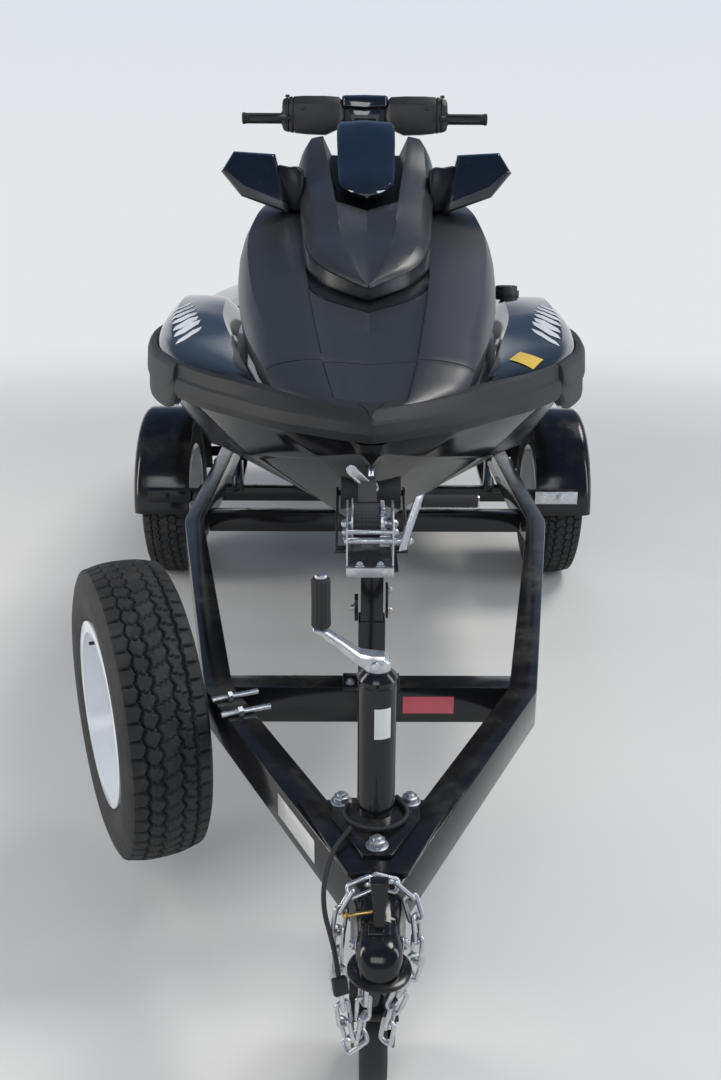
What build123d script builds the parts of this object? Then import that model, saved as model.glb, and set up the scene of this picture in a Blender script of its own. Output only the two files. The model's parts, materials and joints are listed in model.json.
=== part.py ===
"""A three-seat personal watercraft standing on its single-axle trailer.

Millimetres. +Z is up and Z = 0 is the ground. The bow and the tow coupler point along -Y, and +X is
port. The origin is on the ground in the middle of the whole outline, so the coupler's nose and the
boarding platform's edge are the same distance from it.
"""
import math
import os

from build123d import *

# Driving dimensions of the whole outline
HALF_LENGTH = 2232.0
STERN_Y = HALF_LENGTH
COUPLER_NOSE_Y = -HALF_LENGTH

# Craft: shell thicknesses, gaps and edges
HULL_WALL = 7.0
DECK_WALL = 6.0
HOOD_WALL = 5.0
BUMPER_DEPTH = 22.0
BOND_GAP = 1.0
TRANSOM_Y = 2170.0
PLATFORM_Z = 844.0
SEAM_Y = -1080.0
SEAM_GAP = 7.0
DECK_JOINT_Y, DECK_JOINT_GAP = 1700.0, 0.4

# Water jet: centre height, tunnel and pump, and the engine that drives it
ENGINE_Y = (500.0, 900.0)
JET_Z = 590.0
TUNNEL_HALF_WIDTH = 125.0
TUNNEL_ROOF_Z = 716.0
TUNNEL_WALL = 7.0
PUMP_FRONT_Y, PUMP_TAPER_Y = 1745.0, 1925.0
PUMP_OUTER_R, PUMP_INNER_R = 88.0, 76.0
IMPELLER_R, IMPELLER_Y = 71.0, (1796.0, 1888.0)
STATOR_Y = (1906.0, 1978.0)
NOZZLE_PIVOT_Y, NOZZLE_SEAT_R = 2045.0, 66.0
BUCKET_PIVOT_Y, BUCKET_R, BUCKET_HALF = 2075.0, 112.0, 106.0
PIVOT_PIN_R, PIVOT_HOLE_R = 5.0, 5.3

# Boarding step: pivot, half width and reach of the foot bar
STEP_PIVOT_Y, STEP_PIVOT_Z, STEP_HALF, STEP_REACH = 2206.0, 652.0, 152.0, 132.0
TOW_EYE = (2198.0, 884.0)

# Steering
COLUMN_TILT = 27.0
BAR_Y, BAR_Z, BAR_HALF = 420.0, 1575.0, 398.0

# Trailer frame
RAIL_TOP_Z, RAIL_HEIGHT, RAIL_WIDTH, RAIL_WALL = 500.0, 70.0, 50.0, 3.0
CROSS_TOP_Z = 484.0
BUNK_DEPTH = 42.0
FRONT_CROSS_Y, MIDDLE_CROSS_Y, REAR_CROSS_Y = -1500.0, -367.0, 2060.0

# Wheels: 155 R13 tyres on 13 inch steel rims
AXLE_Y = 500.0
TYRE_R = 290.0
WHEEL_X = 688.0
SPINDLE_R = 15.0
SPARE_CENTRE = (-457.0, -1395.0, 392.0)
SPARE_YAW = 203.7
FENDER_R = 318.0
FENDER_X, FENDER_CORNER, FENDER_LIP = (592.0, 784.0), 30.0, 60.0

# Tongue jack
JACK_Y = -1940.0
JACK_TUBE = (400.0, 715.0, 27.0, 23.5)
JACK_LEG = (168.0, 478.0, 22.5)
GUSSET_TOP_Z, FLANGE_SHEET = RAIL_TOP_Z + 7.0, 6.0
CASTER_R, CASTER_WIDTH, CASTER_TRAIL = 75.0, 44.0, 34.0

# Hull stations: y, keel z, chine x, chine z, gunwale x, sheer z
HULL = (
    (-1290, 855, 24, 878, 52, 905),
    (-1200, 745, 110, 850, 190, 905),
    (-950, 610, 265, 790, 395, 905),
    (-600, 520, 400, 735, 545, 905),
    (-200, 485, 480, 700, 600, 900),
    (400, 480, 515, 685, 612, 890),
    (1300, 480, 510, 675, 600, 870),
    (TRANSOM_Y, 480, 476, 661, 563, 851),
)

# Deck stations, outer edge to centre: y, then x and z of edge top, crown outer, crown inner,
# floor outer, floor inner, shelf corner, and z of the centre line
DECK = (
    (-1245, 100, 958, 90, 961, 78, 958, 66, 952, 50, 951, 30, 951, 951),
    (-1200, 168, 962, 156, 966, 146, 962, 140, 954, 120, 952, 90, 952, 952),
    (-1080, 266, 968, 254, 976, 236, 974, 229, 952, 200, 952, 150, 952, 952),
    (-950, 373, 972, 352, 986, 268, 986, 258, 956, 240, 954, 180, 954, 954),
    (-600, 523, 978, 488, 1012, 338, 1002, 322, 968, 300, 962, 230, 962, 962),
    (-300, 566, 984, 522, 1040, 395, 1030, 352, 985, 318, 975, 230, 972, 972),
    (0, 582, 975, 545, 1046, 420, 1044, 365, 990, 320, 980, 225, 980, 980),
    (240, 587, 968, 552, 1030, 440, 1015, 400, 960, 300, 960, 222, 984, 984),
    (430, 590, 960, 556, 996, 474, 985, 455, 726, 235, 726, 212, 990, 990),
    (1300, 578, 942, 545, 966, 470, 956, 452, 722, 235, 722, 208, 1004, 1004),
    (1690, 560, 928, 528, 950, 452, 940, 436, 728, 240, 728, 208, 1010, 1010),
    (1840, 555, 924, 522, 942, 440, 930, 402, 850, 250, 850, 205, 1010, 1010),
    (1900, 552, 922, 520, 938, 436, 924, 392, 848, 240, 848, 150, 848, 848),
    (STERN_Y - 8, 528, 900, 498, 906, 418, 880, 380, 844, 200, 844, 120, 844, 844),
)

# Nose and hood stations, lower edge to centre: y, then x and z of lower edge, side, shoulder, crease,
# and z of the centre line
NOSE = (
    (-1284, 24, 960, 26, 966, 22, 970, 12, 972, 971),
    (-1150, 188, 958, 192, 972, 164, 990, 84, 1006, 998),
    (SEAM_Y - SEAM_GAP / 2, 214, 958, 217, 1002, 180, 1018, 97, 1026, 1017),
)
HOOD = (
    (SEAM_Y + SEAM_GAP / 2, 214, 962, 217, 1003, 180, 1019, 97, 1026, 1017),
    (-800, 266, 970, 284, 1040, 250, 1088, 132, 1112, 1090),
    (-600, 300, 974, 318, 1085, 288, 1142, 152, 1176, 1150),
    (-300, 322, 986, 345, 1150, 318, 1240, 172, 1262, 1232),
    (-100, 328, 990, 350, 1168, 304, 1298, 186, 1306, 1280),
    (145, 328, 980, 348, 1178, 290, 1324, 188, 1342, 1322),
)
# Upper cowl stations, same layout
COWL = (
    (-742, 14, 1132, 16, 1138, 12, 1144, 6, 1148, 1149),
    (-500, 138, 1192, 142, 1204, 118, 1224, 68, 1240, 1234),
    (-300, 156, 1272, 162, 1290, 142, 1312, 84, 1330, 1306),
    (-100, 182, 1330, 190, 1352, 166, 1392, 100, 1408, 1372),
    (60, 190, 1362, 196, 1424, 166, 1482, 122, 1492, 1424),
    (140, 186, 1366, 190, 1440, 162, 1500, 124, 1508, 1452),
)
# Display visor stations: y, half width, edge z, centre z, depth
VISOR = (
    (-282, 8, 1346, 1349, 10),
    (-215, 66, 1380, 1390, 30),
    (-60, 73, 1462, 1472, 60),
    (100, 75, 1540, 1550, 84),
    (190, 72, 1548, 1556, 92),
)
MIRROR_REAR_Y = -132.0
# Console behind the cowl: y, bottom half width, bottom z, shoulder half width, shoulder z, top z
CONSOLE = (
    (152, 205, 1000, 180, 1330, 1372),
    (300, 200, 1000, 170, 1310, 1350),
    (420, 195, 1002, 150, 1205, 1238),
    (596, 190, 1004, 140, 1096, 1122),
)
LID_HINGE = (436.0, 1236.0)
# Seats: y at the bottom, y at the top, bottom half width, top half width, crown z
DRIVER_SEAT = (
    (604, 690, 176, 92, 1150),
    (800, 810, 190, 130, 1158),
    (1000, 1010, 196, 160, 1164),
    (1100, 1120, 198, 172, 1186),
    (1176, 1252, 198, 168, 1236),
)
PASSENGER_SEAT = (
    (1188, 1268, 200, 170, 1222),
    (1400, 1410, 200, 176, 1226),
    (1600, 1610, 198, 172, 1232),
    (1790, 1760, 192, 150, 1222),
)

# Bow bumper path in plan and its lower and upper edges
BOW_BUMPER = (
    (-432, -880, 904, 984),
    (-370, -982, 905, 985),
    (-290, -1078, 905, 985),
    (-190, -1196, 905, 985),
    (-100, -1264, 905, 985),
    (0, -1325, 905, 985),
)
SIDE_BUMPER = (
    (440, -868, 890, 985),
    (488, -760, 866, 985),
    (532, -640, 858, 984),
    (566, -480, 858, 983),
    (600, -190, 858, 978),
    (612, 400, 852, 962),
    (600, 1300, 836, 944),
    (563, TRANSOM_Y, 822, 914),
)

FUEL_CAP = (446.0, 130.0, 1046.0)

# Trailer rail, outer edge in plan, coupler end first, and the radius of its two bends
RAIL = ((22, -2112), (300, -1536), (494, -507), (494, 2085))
RAIL_BENDS = (90.0, 420.0)
# Bow stop (y, z of its pin), winch drum and the pinion shaft that its crank turns
BOW_ROLLER = (-1281.0, 798.0)
WINCH_BASE_Z = 728.0
WINCH_Y, WINCH_AXIS_Z = -1448.0, 788.0
PINION_Y, PINION_Z, PINION_R = -1498.0, 772.0, 9.5
GEAR_R, STRAP_R, GEAR_TEETH = 36.0, 37.0, 30
# Coupler: its ball's centre, the underside of its rim and the radii of its dome and rim
BALL_Y, COUPLER_LOW, BALL_R = COUPLER_NOSE_Y + 39.0, 446.0, 25.4
DOME_R, RIM_R = 29.5, 39.0
# Lighting lead: its radius and its run from the gusset plate down the tongue's side
HARNESS_R = 3.3
HARNESS_RUN = (
    (-36, -1996, 519.5), (-64, -2048, 514), (-74, -2118, 492), (-56, -2166, 458), (-50, -2180, 424),
)


def at(table, y):
    """The row of a station table at y, by straight interpolation."""
    for low, high in zip(table, table[1:]):
        if low[0] <= y <= high[0]:
            share = (y - low[0]) / (high[0] - low[0])
            return [a + (b - a) * share for a, b in zip(low, high)]
    return list(table[-1] if y > table[-1][0] else table[0])


def hull_bottom(x, y):
    """Height of the hull's planing surface at a place in plan."""
    _, keel_z, chine_x, chine_z, _, _ = at(HULL, y)
    inner_x = chine_x * 0.93
    inner_z = chine_z - 12.0 * chine_x / 515.0
    return keel_z + (inner_z - keel_z) * min(abs(x) / inner_x, 1.0)


def full_line(half):
    """Mirrors a half profile that runs from the outer edge to the centre."""
    return [(-x, z) for x, z in half if x > 0] + list(half)[::-1]


def offset_line(points, distance):
    """Moves a line of 2-D points to its right-hand side, with mitred corners."""
    normals = []
    for (x0, z0), (x1, z1) in zip(points, points[1:]):
        length = math.hypot(x1 - x0, z1 - z0)
        normals.append(((z1 - z0) / length, (x0 - x1) / length))
    moved = []
    for i, (x, z) in enumerate(points):
        ax, az = normals[max(i - 1, 0)]
        bx, bz = normals[min(i, len(normals) - 1)]
        share = distance / max(1.0 + ax * bx + az * bz, 0.35)
        moved.append((x + (ax + bx) * share, z + (az + bz) * share))
    return moved


def face_at(points, y):
    """A face across the craft at y from points in x and z."""
    return make_face(Polyline(*[(x, y, z) for x, z in points], close=True))


def lofted(sections):
    """A ruled solid through (y, points) sections."""
    return loft([face_at(points, y) for y, points in sections], ruled=True)


def shell(stations, thickness):
    """A thin-walled lofted panel through (y, half profile) stations."""
    rows = []
    for y, half in stations:
        line = full_line(half)
        rows.append((y, line + offset_line(line, thickness)[::-1]))
    return lofted(rows)


def box(x, y, z):
    """A block between two bounds on each axis."""
    size = [high - low for low, high in (x, y, z)]
    centre = [(low + high) / 2 for low, high in (x, y, z)]
    return Pos(*centre) * Box(*size)


def cylinder(start, end, radius):
    """A round bar between two points."""
    a, b = Vector(*start), Vector(*end)
    return Plane(origin=(a + b) / 2, z_dir=b - a) * Cylinder(radius, (b - a).length)


def cross_bar(half, radius, y=0.0, z=0.0):
    """A round bar across the centre plane, reaching half to each side."""
    return cylinder((-half, y, z), (half, y, z), radius)


def profile_yz(points, x0, x1):
    """An outline in y and z, extruded from x0 to x1."""
    face = make_face(Polyline(*[(x0, y, z) for y, z in points], close=True))
    return extrude(face, amount=x1 - x0, dir=(1, 0, 0))


def profile_xy(points, z0, z1):
    """An outline in plan, extruded from z0 to z1."""
    face = make_face(Polyline(*[(x, y, z0) for x, y in points], close=True))
    return extrude(face, amount=z1 - z0, dir=(0, 0, 1))


def mirrored(shape):
    """The same piece on the other side of the craft."""
    return mirror(shape, about=Plane.YZ)


def pair(shape):
    """A piece and its mirror image, as one compound of two solids."""
    return Compound(children=[*shape.solids(), *mirrored(shape).solids()])


def turned(points, x_sign=1):
    """A ring about the X axis from a closed profile of x and radius."""
    face = make_face(Polyline(*[(x * x_sign, 0, r) for x, r in points], close=True))
    return revolve(face, axis=Axis.X)


# Hull and water jet


def hull_half(y):
    """Half profile of the hull from its bond line to its keel."""
    _, keel_z, chine_x, chine_z, gunwale_x, sheer_z = at(HULL, y)
    return [
        (gunwale_x - BUMPER_DEPTH, sheer_z - BOND_GAP),
        (chine_x, chine_z),
        (chine_x * 0.93, chine_z - 12.0 * chine_x / 515.0),
        (0, keel_z),
    ]


def tunnel(clearance=0.0):
    """The inside of the intake duct and pump tunnel, grown by a clearance."""
    c = clearance
    outline = [
        (1190 - c, 470), (1198 - c, 556 + c), (1500 - c, 668 + c), (1720 - c, 690 + c),
        (1960, TUNNEL_ROOF_Z + c), (STERN_Y + 50, TUNNEL_ROOF_Z + c), (STERN_Y + 50, 400),
        (1190 - c, 400),
    ]
    half = TUNNEL_HALF_WIDTH + c
    return profile_yz(outline, -half, half)


def stem():
    """Rounded nose that closes the hull ahead of its first station."""
    stem_tip = [(x * 0.7, 880 + (z - 880) * 0.75) for x, z in full_line(hull_half(-1290))]
    return lofted([(-1304, stem_tip), (-1284, full_line(hull_half(-1284)))])


def hull_solid():
    """The space inside the hull's outer skin, to scribe neighbours to it."""
    return lofted([(row[0], full_line(hull_half(row[0]))) for row in HULL])


def above_sheer():
    """The space over the bond line, which belongs to the deck."""
    rows = []
    for y, _, _, _, _, sheer_z in HULL:
        low = sheer_z - BOND_GAP
        rows.append((y, [(-650, low), (650, low), (650, 1000), (-650, 1000)]))
    return lofted(rows)


def strakes():
    """Lifting strakes along the planing surface, two on each side."""
    width, depth, sink = 26.0, 9.0, 3.0
    ridges = []
    for x in (165.0, 300.0):
        rows = []
        for y in (-600.0, -200.0, 400.0, 1300.0, 2140.0):
            inner_z, outer_z = hull_bottom(x, y), hull_bottom(x + width, y)
            rows.append((y, [(x, inner_z + sink), (x + width, outer_z + sink), (x + width, outer_z - depth)]))
        ridges += pair(lofted(rows)).solids()
    return ridges


def hull():
    """Moulded skin with strakes, the transom and the liner of the intake and pump tunnel."""
    skin = shell([(row[0], hull_half(row[0])) for row in HULL], -HULL_WALL) - above_sheer()
    outer = hull_solid()
    transom = extrude(face_at(full_line(hull_half(TRANSOM_Y)), TRANSOM_Y), HULL_WALL + 1, dir=(0, -1, 0))
    transom -= box((-600, 600), (TRANSOM_Y - 60, TRANSOM_Y + 60), (PLATFORM_Z - DECK_WALL - 4, 900))
    liner = tunnel(TUNNEL_WALL) & outer
    shaft_way = cylinder((0, 1100, JET_Z), (0, 1700, JET_Z), 18)
    return skin + stem() + transom + strakes() + liner - tunnel() - shaft_way


def ride_plate():
    """Closes the tunnel under the pump, in line with the hull's V."""
    rows = []
    for y in (1650, 1850, 2050):
        half = [(TUNNEL_HALF_WIDTH - 3, hull_bottom(TUNNEL_HALF_WIDTH - 3, y)), (0, hull_bottom(0, y))]
        line = full_line(half)
        rows.append((y, line + offset_line(line, -8)[::-1]))
    return lofted(rows)


def intake_grate():
    """Five bars along the intake, on a cross tie at each end."""
    front_y, rear_y, tie, bar, depth = 1202.0, 1640.0, 16.0, 9.0, 16.0
    half = TUNNEL_HALF_WIDTH - 3
    grate = None
    for x in (-92, -46, 0, 46, 92):
        z = hull_bottom(x, 1400)
        piece = box((x - bar / 2, x + bar / 2), (front_y, rear_y), (z, z + depth))
        grate = piece if grate is None else grate + piece
    for y in (front_y, rear_y - tie):
        line = full_line([(half, hull_bottom(half, y)), (0, hull_bottom(0, y))])
        section = line + offset_line(line, -bar)[::-1]
        grate += lofted([(y, section), (y + tie, section)])
    return grate


def turned_jet(points):
    """A ring about the jet's axis from a closed profile of y and radius."""
    face = make_face(Polyline(*[(0, y, r) for y, r in points], close=True))
    return Pos(0, 0, JET_Z) * revolve(face, axis=Axis.Y)


def swept_blade(start_y, end_y, turn, root_r, tip_r, thickness):
    """A blade wound about the jet's axis: radial sections that turn from start to end."""
    steps = 5
    rows = []
    for i in range(steps + 1):
        angle = math.radians(turn * i / steps)
        out_x, out_z = math.sin(angle), math.cos(angle)
        corners = ((root_r, -1), (tip_r, -1), (tip_r, 1), (root_r, 1))
        section = [(r * out_x + side * thickness / 2 * out_z, r * out_z - side * thickness / 2 * out_x)
                   for r, side in corners]
        rows.append((start_y + (end_y - start_y) * i / steps, section))
    return lofted(rows)


def blade_ring(blade, count):
    """A blade repeated about the jet's axis."""
    whole = None
    for i in range(count):
        turned_blade = Pos(0, 0, JET_Z) * Rot(0, 360.0 / count * i, 0) * blade
        whole = turned_blade if whole is None else whole + turned_blade
    return whole


def pivot_arm():
    """Arm over the outlet that ends in the nozzle's pivot pin."""
    low = JET_Z + PUMP_OUTER_R - 5
    plate = box((-14, 14), (PUMP_TAPER_Y - 30, NOZZLE_PIVOT_Y + 11), (low, low + 5))
    pin = cylinder((0, NOZZLE_PIVOT_Y, JET_Z + NOZZLE_SEAT_R + 5), (0, NOZZLE_PIVOT_Y, low + 1), PIVOT_PIN_R)
    return plate + pin


def jet_pump():
    """Pump housing with its outlet, curved stator vanes, tail cone, and the nozzle's and bucket's pivots."""
    outlet_y, outlet_r, wall = NOZZLE_PIVOT_Y - 12, 46.0, 5.0
    neck_y, neck_r = NOZZLE_PIVOT_Y - 50, 50.0
    housing = turned_jet([
        (PUMP_FRONT_Y, PUMP_INNER_R), (PUMP_FRONT_Y, PUMP_OUTER_R + 4), (PUMP_FRONT_Y + 12, PUMP_OUTER_R + 4),
        (PUMP_FRONT_Y + 16, PUMP_OUTER_R), (PUMP_TAPER_Y, PUMP_OUTER_R), (neck_y, neck_r),
        (outlet_y, outlet_r),
        (outlet_y, outlet_r - wall), (neck_y, neck_r - wall - 1), (PUMP_TAPER_Y - 5, PUMP_INNER_R),
    ])
    vane = swept_blade(*STATOR_Y, -28, 20, PUMP_INNER_R + 4, 4)
    envelope = turned_jet([
        (STATOR_Y[0] - 4, 0), (STATOR_Y[0] - 4, PUMP_INNER_R + 4), (PUMP_TAPER_Y, PUMP_INNER_R + 4),
        (neck_y, neck_r - 3), (neck_y, 0),
    ])
    tail_cone = turned_jet([
        (STATOR_Y[0], 0), (STATOR_Y[0], 27), (STATOR_Y[0] + 40, 25), (STATOR_Y[1], 14), (STATOR_Y[1] + 12, 0),
    ])
    upper_arm = pivot_arm()
    lower_arm = mirror(upper_arm, about=Plane.XY.offset(JET_Z))
    pump = housing + (blade_ring(vane, 7) & envelope) + tail_cone + upper_arm + lower_arm
    return Compound(children=[*pump.solids(), *bucket_ears().solids()])


def impeller():
    """Hub with four helical blades; the shaft runs forward to the engine."""
    front, rear = IMPELLER_Y
    hub = turned_jet([(front - 6, 0), (front - 6, 21), (rear + 2, 27), (rear + 2, 0)])
    blades = blade_ring(swept_blade(front, rear, 96, 18, IMPELLER_R, 5), 4)
    shaft = cylinder((0, ENGINE_Y[1] + 6, JET_Z), (0, front, JET_Z), 12)
    return hub + blades + shaft


def seat_point(offset, radius):
    """A point of a circle about the nozzle's pivot, in the plane x = 0 of the jet's axis."""
    return (0, NOZZLE_PIVOT_Y + offset, math.sqrt(radius ** 2 - offset ** 2))


def steering_nozzle():
    """Ball seat over the pump's outlet, drawn in to the jet, with its pivot bosses and steering arm."""
    front, waist, end = -20.0, 30.0, 88.0
    inner_r, outer_r = NOZZLE_SEAT_R, NOZZLE_SEAT_R + 8
    mouth = [(0, NOZZLE_PIVOT_Y + end, 44), (0, NOZZLE_PIVOT_Y + end, 51)]
    outline = [
        ThreePointArc(*[seat_point(offset, inner_r) for offset in (front, 5, waist)]),
        Line(seat_point(waist, inner_r), mouth[0]),
        Line(*mouth),
        Line(mouth[1], seat_point(waist, outer_r)),
        ThreePointArc(*[seat_point(offset, outer_r) for offset in (waist, 5, front)]),
        Line(seat_point(front, outer_r), seat_point(front, inner_r)),
    ]
    whole = Pos(0, 0, JET_Z) * revolve(make_face(outline), axis=Axis.Y)
    for side in (-1, 1):
        reach = (JET_Z + side * (inner_r + 3), JET_Z + side * (PUMP_OUTER_R - 6))
        whole += cylinder(*[(0, NOZZLE_PIVOT_Y, z) for z in reach], 12)
    whole += box((70, 85), (NOZZLE_PIVOT_Y + 2, NOZZLE_PIVOT_Y + 18), (JET_Z - 6, JET_Z + 6))
    return whole - cylinder((0, NOZZLE_PIVOT_Y, JET_Z - 90), (0, NOZZLE_PIVOT_Y, JET_Z + 90), PIVOT_HOLE_R)


def reverse_bucket():
    """A scoop with a stiffening rib, carried by two side arms; parked above the nozzle."""
    inner_r, half = BUCKET_R - 6, BUCKET_HALF
    ring = cross_bar(half, BUCKET_R) - cross_bar(half + 1, inner_r)
    rib = cross_bar(4, BUCKET_R + 6) - cross_bar(5, inner_r + 2)
    wedge = profile_yz([(0, 0), (-40, 200), (200, 200), (200, 62)], -half, half)
    scoop = (ring + rib) & wedge
    arm_outline = [(-16, -14), (16, -14), (22, 4), (104, 34), (60, 94), (-18, 106), (-20, 0)]
    for x in (-half, half - 5):
        scoop += profile_yz(arm_outline, x, x + 5)
    scoop -= cross_bar(half + 1, PIVOT_HOLE_R)
    return Pos(0, BUCKET_PIVOT_Y, JET_Z) * scoop


def bucket_ears():
    """Ears beside the outlet with the bucket's pivot pins."""
    ear = box((92, 97), (NOZZLE_PIVOT_Y - 50, BUCKET_PIVOT_Y + 12), (JET_Z - 12, JET_Z + 12))
    link = box((48, 97), (NOZZLE_PIVOT_Y - 66, NOZZLE_PIVOT_Y - 50), (JET_Z - 12, JET_Z + 12))
    pin = cylinder((96, BUCKET_PIVOT_Y, JET_Z), (BUCKET_HALF + 4, BUCKET_PIVOT_Y, JET_Z), PIVOT_PIN_R)
    return pair(ear + link + pin)


# Deck, hood and cowl


def deck_half(y):
    """Half profile of the deck from its bond line to the centre."""
    row = at(DECK, y)
    sheer = at(HULL, min(y, TRANSOM_Y))[5]
    points = [(row[1], sheer)]
    points += [(row[i], row[i + 1]) for i in range(1, 13, 2)]
    points.append((0, row[13]))
    return points


def deck_solid():
    """The space under the deck's outer surface, to scribe neighbours to it."""
    rows = []
    for row in DECK:
        half = deck_half(row[0])
        rows.append((row[0], full_line([(half[0][0], 700.0)] + half)))
    return lofted(rows)


def whole_deck():
    """Gunwale, fairings, footwells, seat pedestal and stern platform in one skin."""
    ys = [row[0] for row in DECK]
    skin = shell([(y, deck_half(y)) for y in ys], DECK_WALL)
    storage_way = box((-196, 196), (-905, -215), (900, 1010))
    engine_way = box((-150, 150), (640, 1150), (940, 1060))
    rear_way = box((-140, 140), (1230, 1700), (940, 1060))
    half = deck_half(STERN_Y - 8)
    stern_line = full_line([(half[0][0], PLATFORM_Z - 38)] + half[1:])
    stern = extrude(face_at(stern_line, STERN_Y - 8), 8, dir=(0, 1, 0))
    return skin - storage_way - engine_way - rear_way + stern


def deck():
    """The deck moulding from the bow to the joint ahead of the stern platform."""
    return whole_deck() & box((-700, 700), (-1400, DECK_JOINT_Y), (600, 1200))


def stern_deck():
    """The stern platform's moulding, which meets the deck in a fine joint."""
    return whole_deck() & box((-700, 700), (DECK_JOINT_Y + DECK_JOINT_GAP, 2300), (600, 1200))


def panel_half(row):
    """Half profile of a nose, hood or cowl station."""
    return [(row[i], row[i + 1]) for i in range(1, 9, 2)] + [(0, row[9])]


def nose_panel():
    """The fixed tip ahead of the hood's seam."""
    return shell([(row[0], panel_half(row)) for row in NOSE], HOOD_WALL) - deck_solid()


def filled(table):
    """The solid under a hood or cowl surface, to scribe a neighbour to it."""
    return lofted([(row[0], full_line(panel_half(row))) for row in table])


def end_wall(table):
    """The upright wall that closes a hood or cowl at its rear edge."""
    rear = table[-1]
    return extrude(face_at(full_line(panel_half(rear)), rear[0]), HOOD_WALL, dir=(0, -1, 0)) & filled(table)


def hood_panel():
    """The opening front cover, from its seam to the end wall ahead of the console."""
    return shell([(row[0], panel_half(row)) for row in HOOD], HOOD_WALL) + end_wall(HOOD)


def upper_cowl():
    """The proud V-lipped cover, scribed to the hood that it stands on."""
    return shell([(row[0], panel_half(row)) for row in COWL], HOOD_WALL) + end_wall(COWL) - filled(HOOD)


def display_visor():
    """Gloss hood over the display, scribed to the cowl that it stands on."""
    rows = []
    for y, half, edge_z, centre_z, depth in VISOR:
        top = [(-half, edge_z), (0, centre_z), (half, edge_z)]
        base = [(half * 0.8, edge_z - depth), (-half * 0.8, edge_z - depth)]
        rows.append((y, top + base))
    return lofted(rows) - filled(COWL)


def mirror_outline(scale=1.0):
    """The port mirror's outline seen from ahead, scaled about its middle."""
    points = [(366, 1446), (251, 1438), (229, 1293), (345, 1334), (402, 1394)]
    cx = sum(x for x, _ in points) / len(points)
    cz = sum(z for _, z in points) / len(points)
    return [(cx + (x - cx) * scale, cz + (z - cz) * scale) for x, z in points]


def mirrors():
    """Two mirror shells, each a swept-back housing on a short arm."""
    rear = MIRROR_REAR_Y
    sections = ((rear - 95, 0.66), (rear - 68, 0.95), (rear, 1.0))
    housing = lofted([(y, mirror_outline(scale)) for y, scale in sections])
    recess = lofted([(y, mirror_outline(0.9)) for y in (rear - 8, rear + 2)])
    arm = lofted([
        (rear - 60, [(160, 1352), (262, 1345), (262, 1385), (160, 1384)]),
        (rear - 12, [(170, 1356), (262, 1345), (262, 1385), (170, 1386)]),
    ])
    return pair(housing + arm - recess - filled(COWL) - filled(HOOD))


def mirror_glass():
    """Glass seated in each mirror's recess, facing aft."""
    glass = lofted([(y, mirror_outline(0.885)) for y in (MIRROR_REAR_Y - 7.5, MIRROR_REAR_Y - 4)])
    return pair(glass - filled(HOOD))


def storage_bin():
    """Open-topped tub under the hood."""
    outer = lofted([
        (-895, full_line([(190, 952), (120, 800), (0, 800)])),
        (-560, full_line([(190, 958), (186, 720), (0, 720)])),
        (-222, full_line([(190, 964), (186, 720), (0, 720)])),
    ])
    inner = lofted([
        (-890, full_line([(185, 980), (114, 806), (0, 806)])),
        (-560, full_line([(185, 980), (180, 726), (0, 726)])),
        (-227, full_line([(185, 980), (180, 726), (0, 726)])),
    ])
    return outer - inner


def console():
    """Cover between cowl and seat, with the column way, the glove box and its lid's hinge lugs."""
    rows = []
    for y, base_x, base_z, side_x, side_z, top_z in CONSOLE:
        rows.append((y, [(base_x, base_z), (side_x, side_z), (side_x * 0.6, top_z), (0, top_z)]))
    skin = shell(rows, DECK_WALL)
    front = face_at(full_line(rows[0][1]), CONSOLE[0][0])
    skin += extrude(front, DECK_WALL, dir=(0, 1, 0))
    column_way = steering_frame() * Pos(0, 0, -190) * Cylinder(40, 300)
    mouth_x, mouth_y, floor_z = (-92, 92), (440, 578), 1016
    glove_way = box(mouth_x, mouth_y, (1080, 1300))
    tub = box((-98, 98), (434, 584), (floor_z - 6, 1190)) - box(mouth_x, mouth_y, (floor_z, 1300))
    under_top = lofted([(y, full_line(half)) for y, half in rows])
    lug = box((88.5, 95), (LID_HINGE[0] - 5, LID_HINGE[0] + 6), (LID_HINGE[1] - 14, LID_HINGE[1] + 5))
    lug += cylinder((80, *LID_HINGE), (89, *LID_HINGE), 2.2)
    return skin - glove_way - column_way + (tub & under_top) + lug + mirrored(lug)


def glovebox_lid():
    """Sloping lid over the glove box mouth, with a rolled hinge edge at its upper end."""
    rear_y, front_y, half = 580, LID_HINGE[0], 88
    z_front, z_rear = at(CONSOLE, front_y)[5] + 2, at(CONSOLE, rear_y)[5] + 2
    outline = [(front_y, z_front), (rear_y, z_rear), (rear_y, z_rear + 9), (front_y, z_front + 9)]
    lid = profile_yz(outline, -half, half) + cylinder((-half, *LID_HINGE), (half, *LID_HINGE), 5)
    for side in (-1, 1):
        lid -= cylinder((side * (half + 1), *LID_HINGE), (side * (half - 10), *LID_HINGE), 2.5)
    return lid


def seat(table, bottom_z):
    """A saddle cushion with leaning ends, as a ruled solid through slanted sections."""
    faces = []
    for low_y, high_y, low_x, high_x, crown in table:
        points = []
        for x, z in ((low_x, bottom_z), (low_x, bottom_z + 34), (high_x, crown - 22), (high_x * 0.6, crown)):
            share = (z - bottom_z) / (crown - bottom_z)
            points.append((x, low_y + (high_y - low_y) * share, z))
        half = [Vector(*p) for p in points]
        ring = [Vector(-p.X, p.Y, p.Z) for p in half] + half[::-1]
        faces.append(make_face(Polyline(*ring, close=True)))
    return loft(faces, ruled=True)


def driver_seat():
    """Front saddle, hollow underneath over the engine way."""
    return seat(DRIVER_SEAT, 1012) - box((-120, 120), (700, 1110), (1000, 1090))


def passenger_seat():
    """Rear saddle, hollow underneath over the stern compartment."""
    return seat(PASSENGER_SEAT, 1018) - box((-130, 130), (1250, 1700), (1000, 1120))


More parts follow.
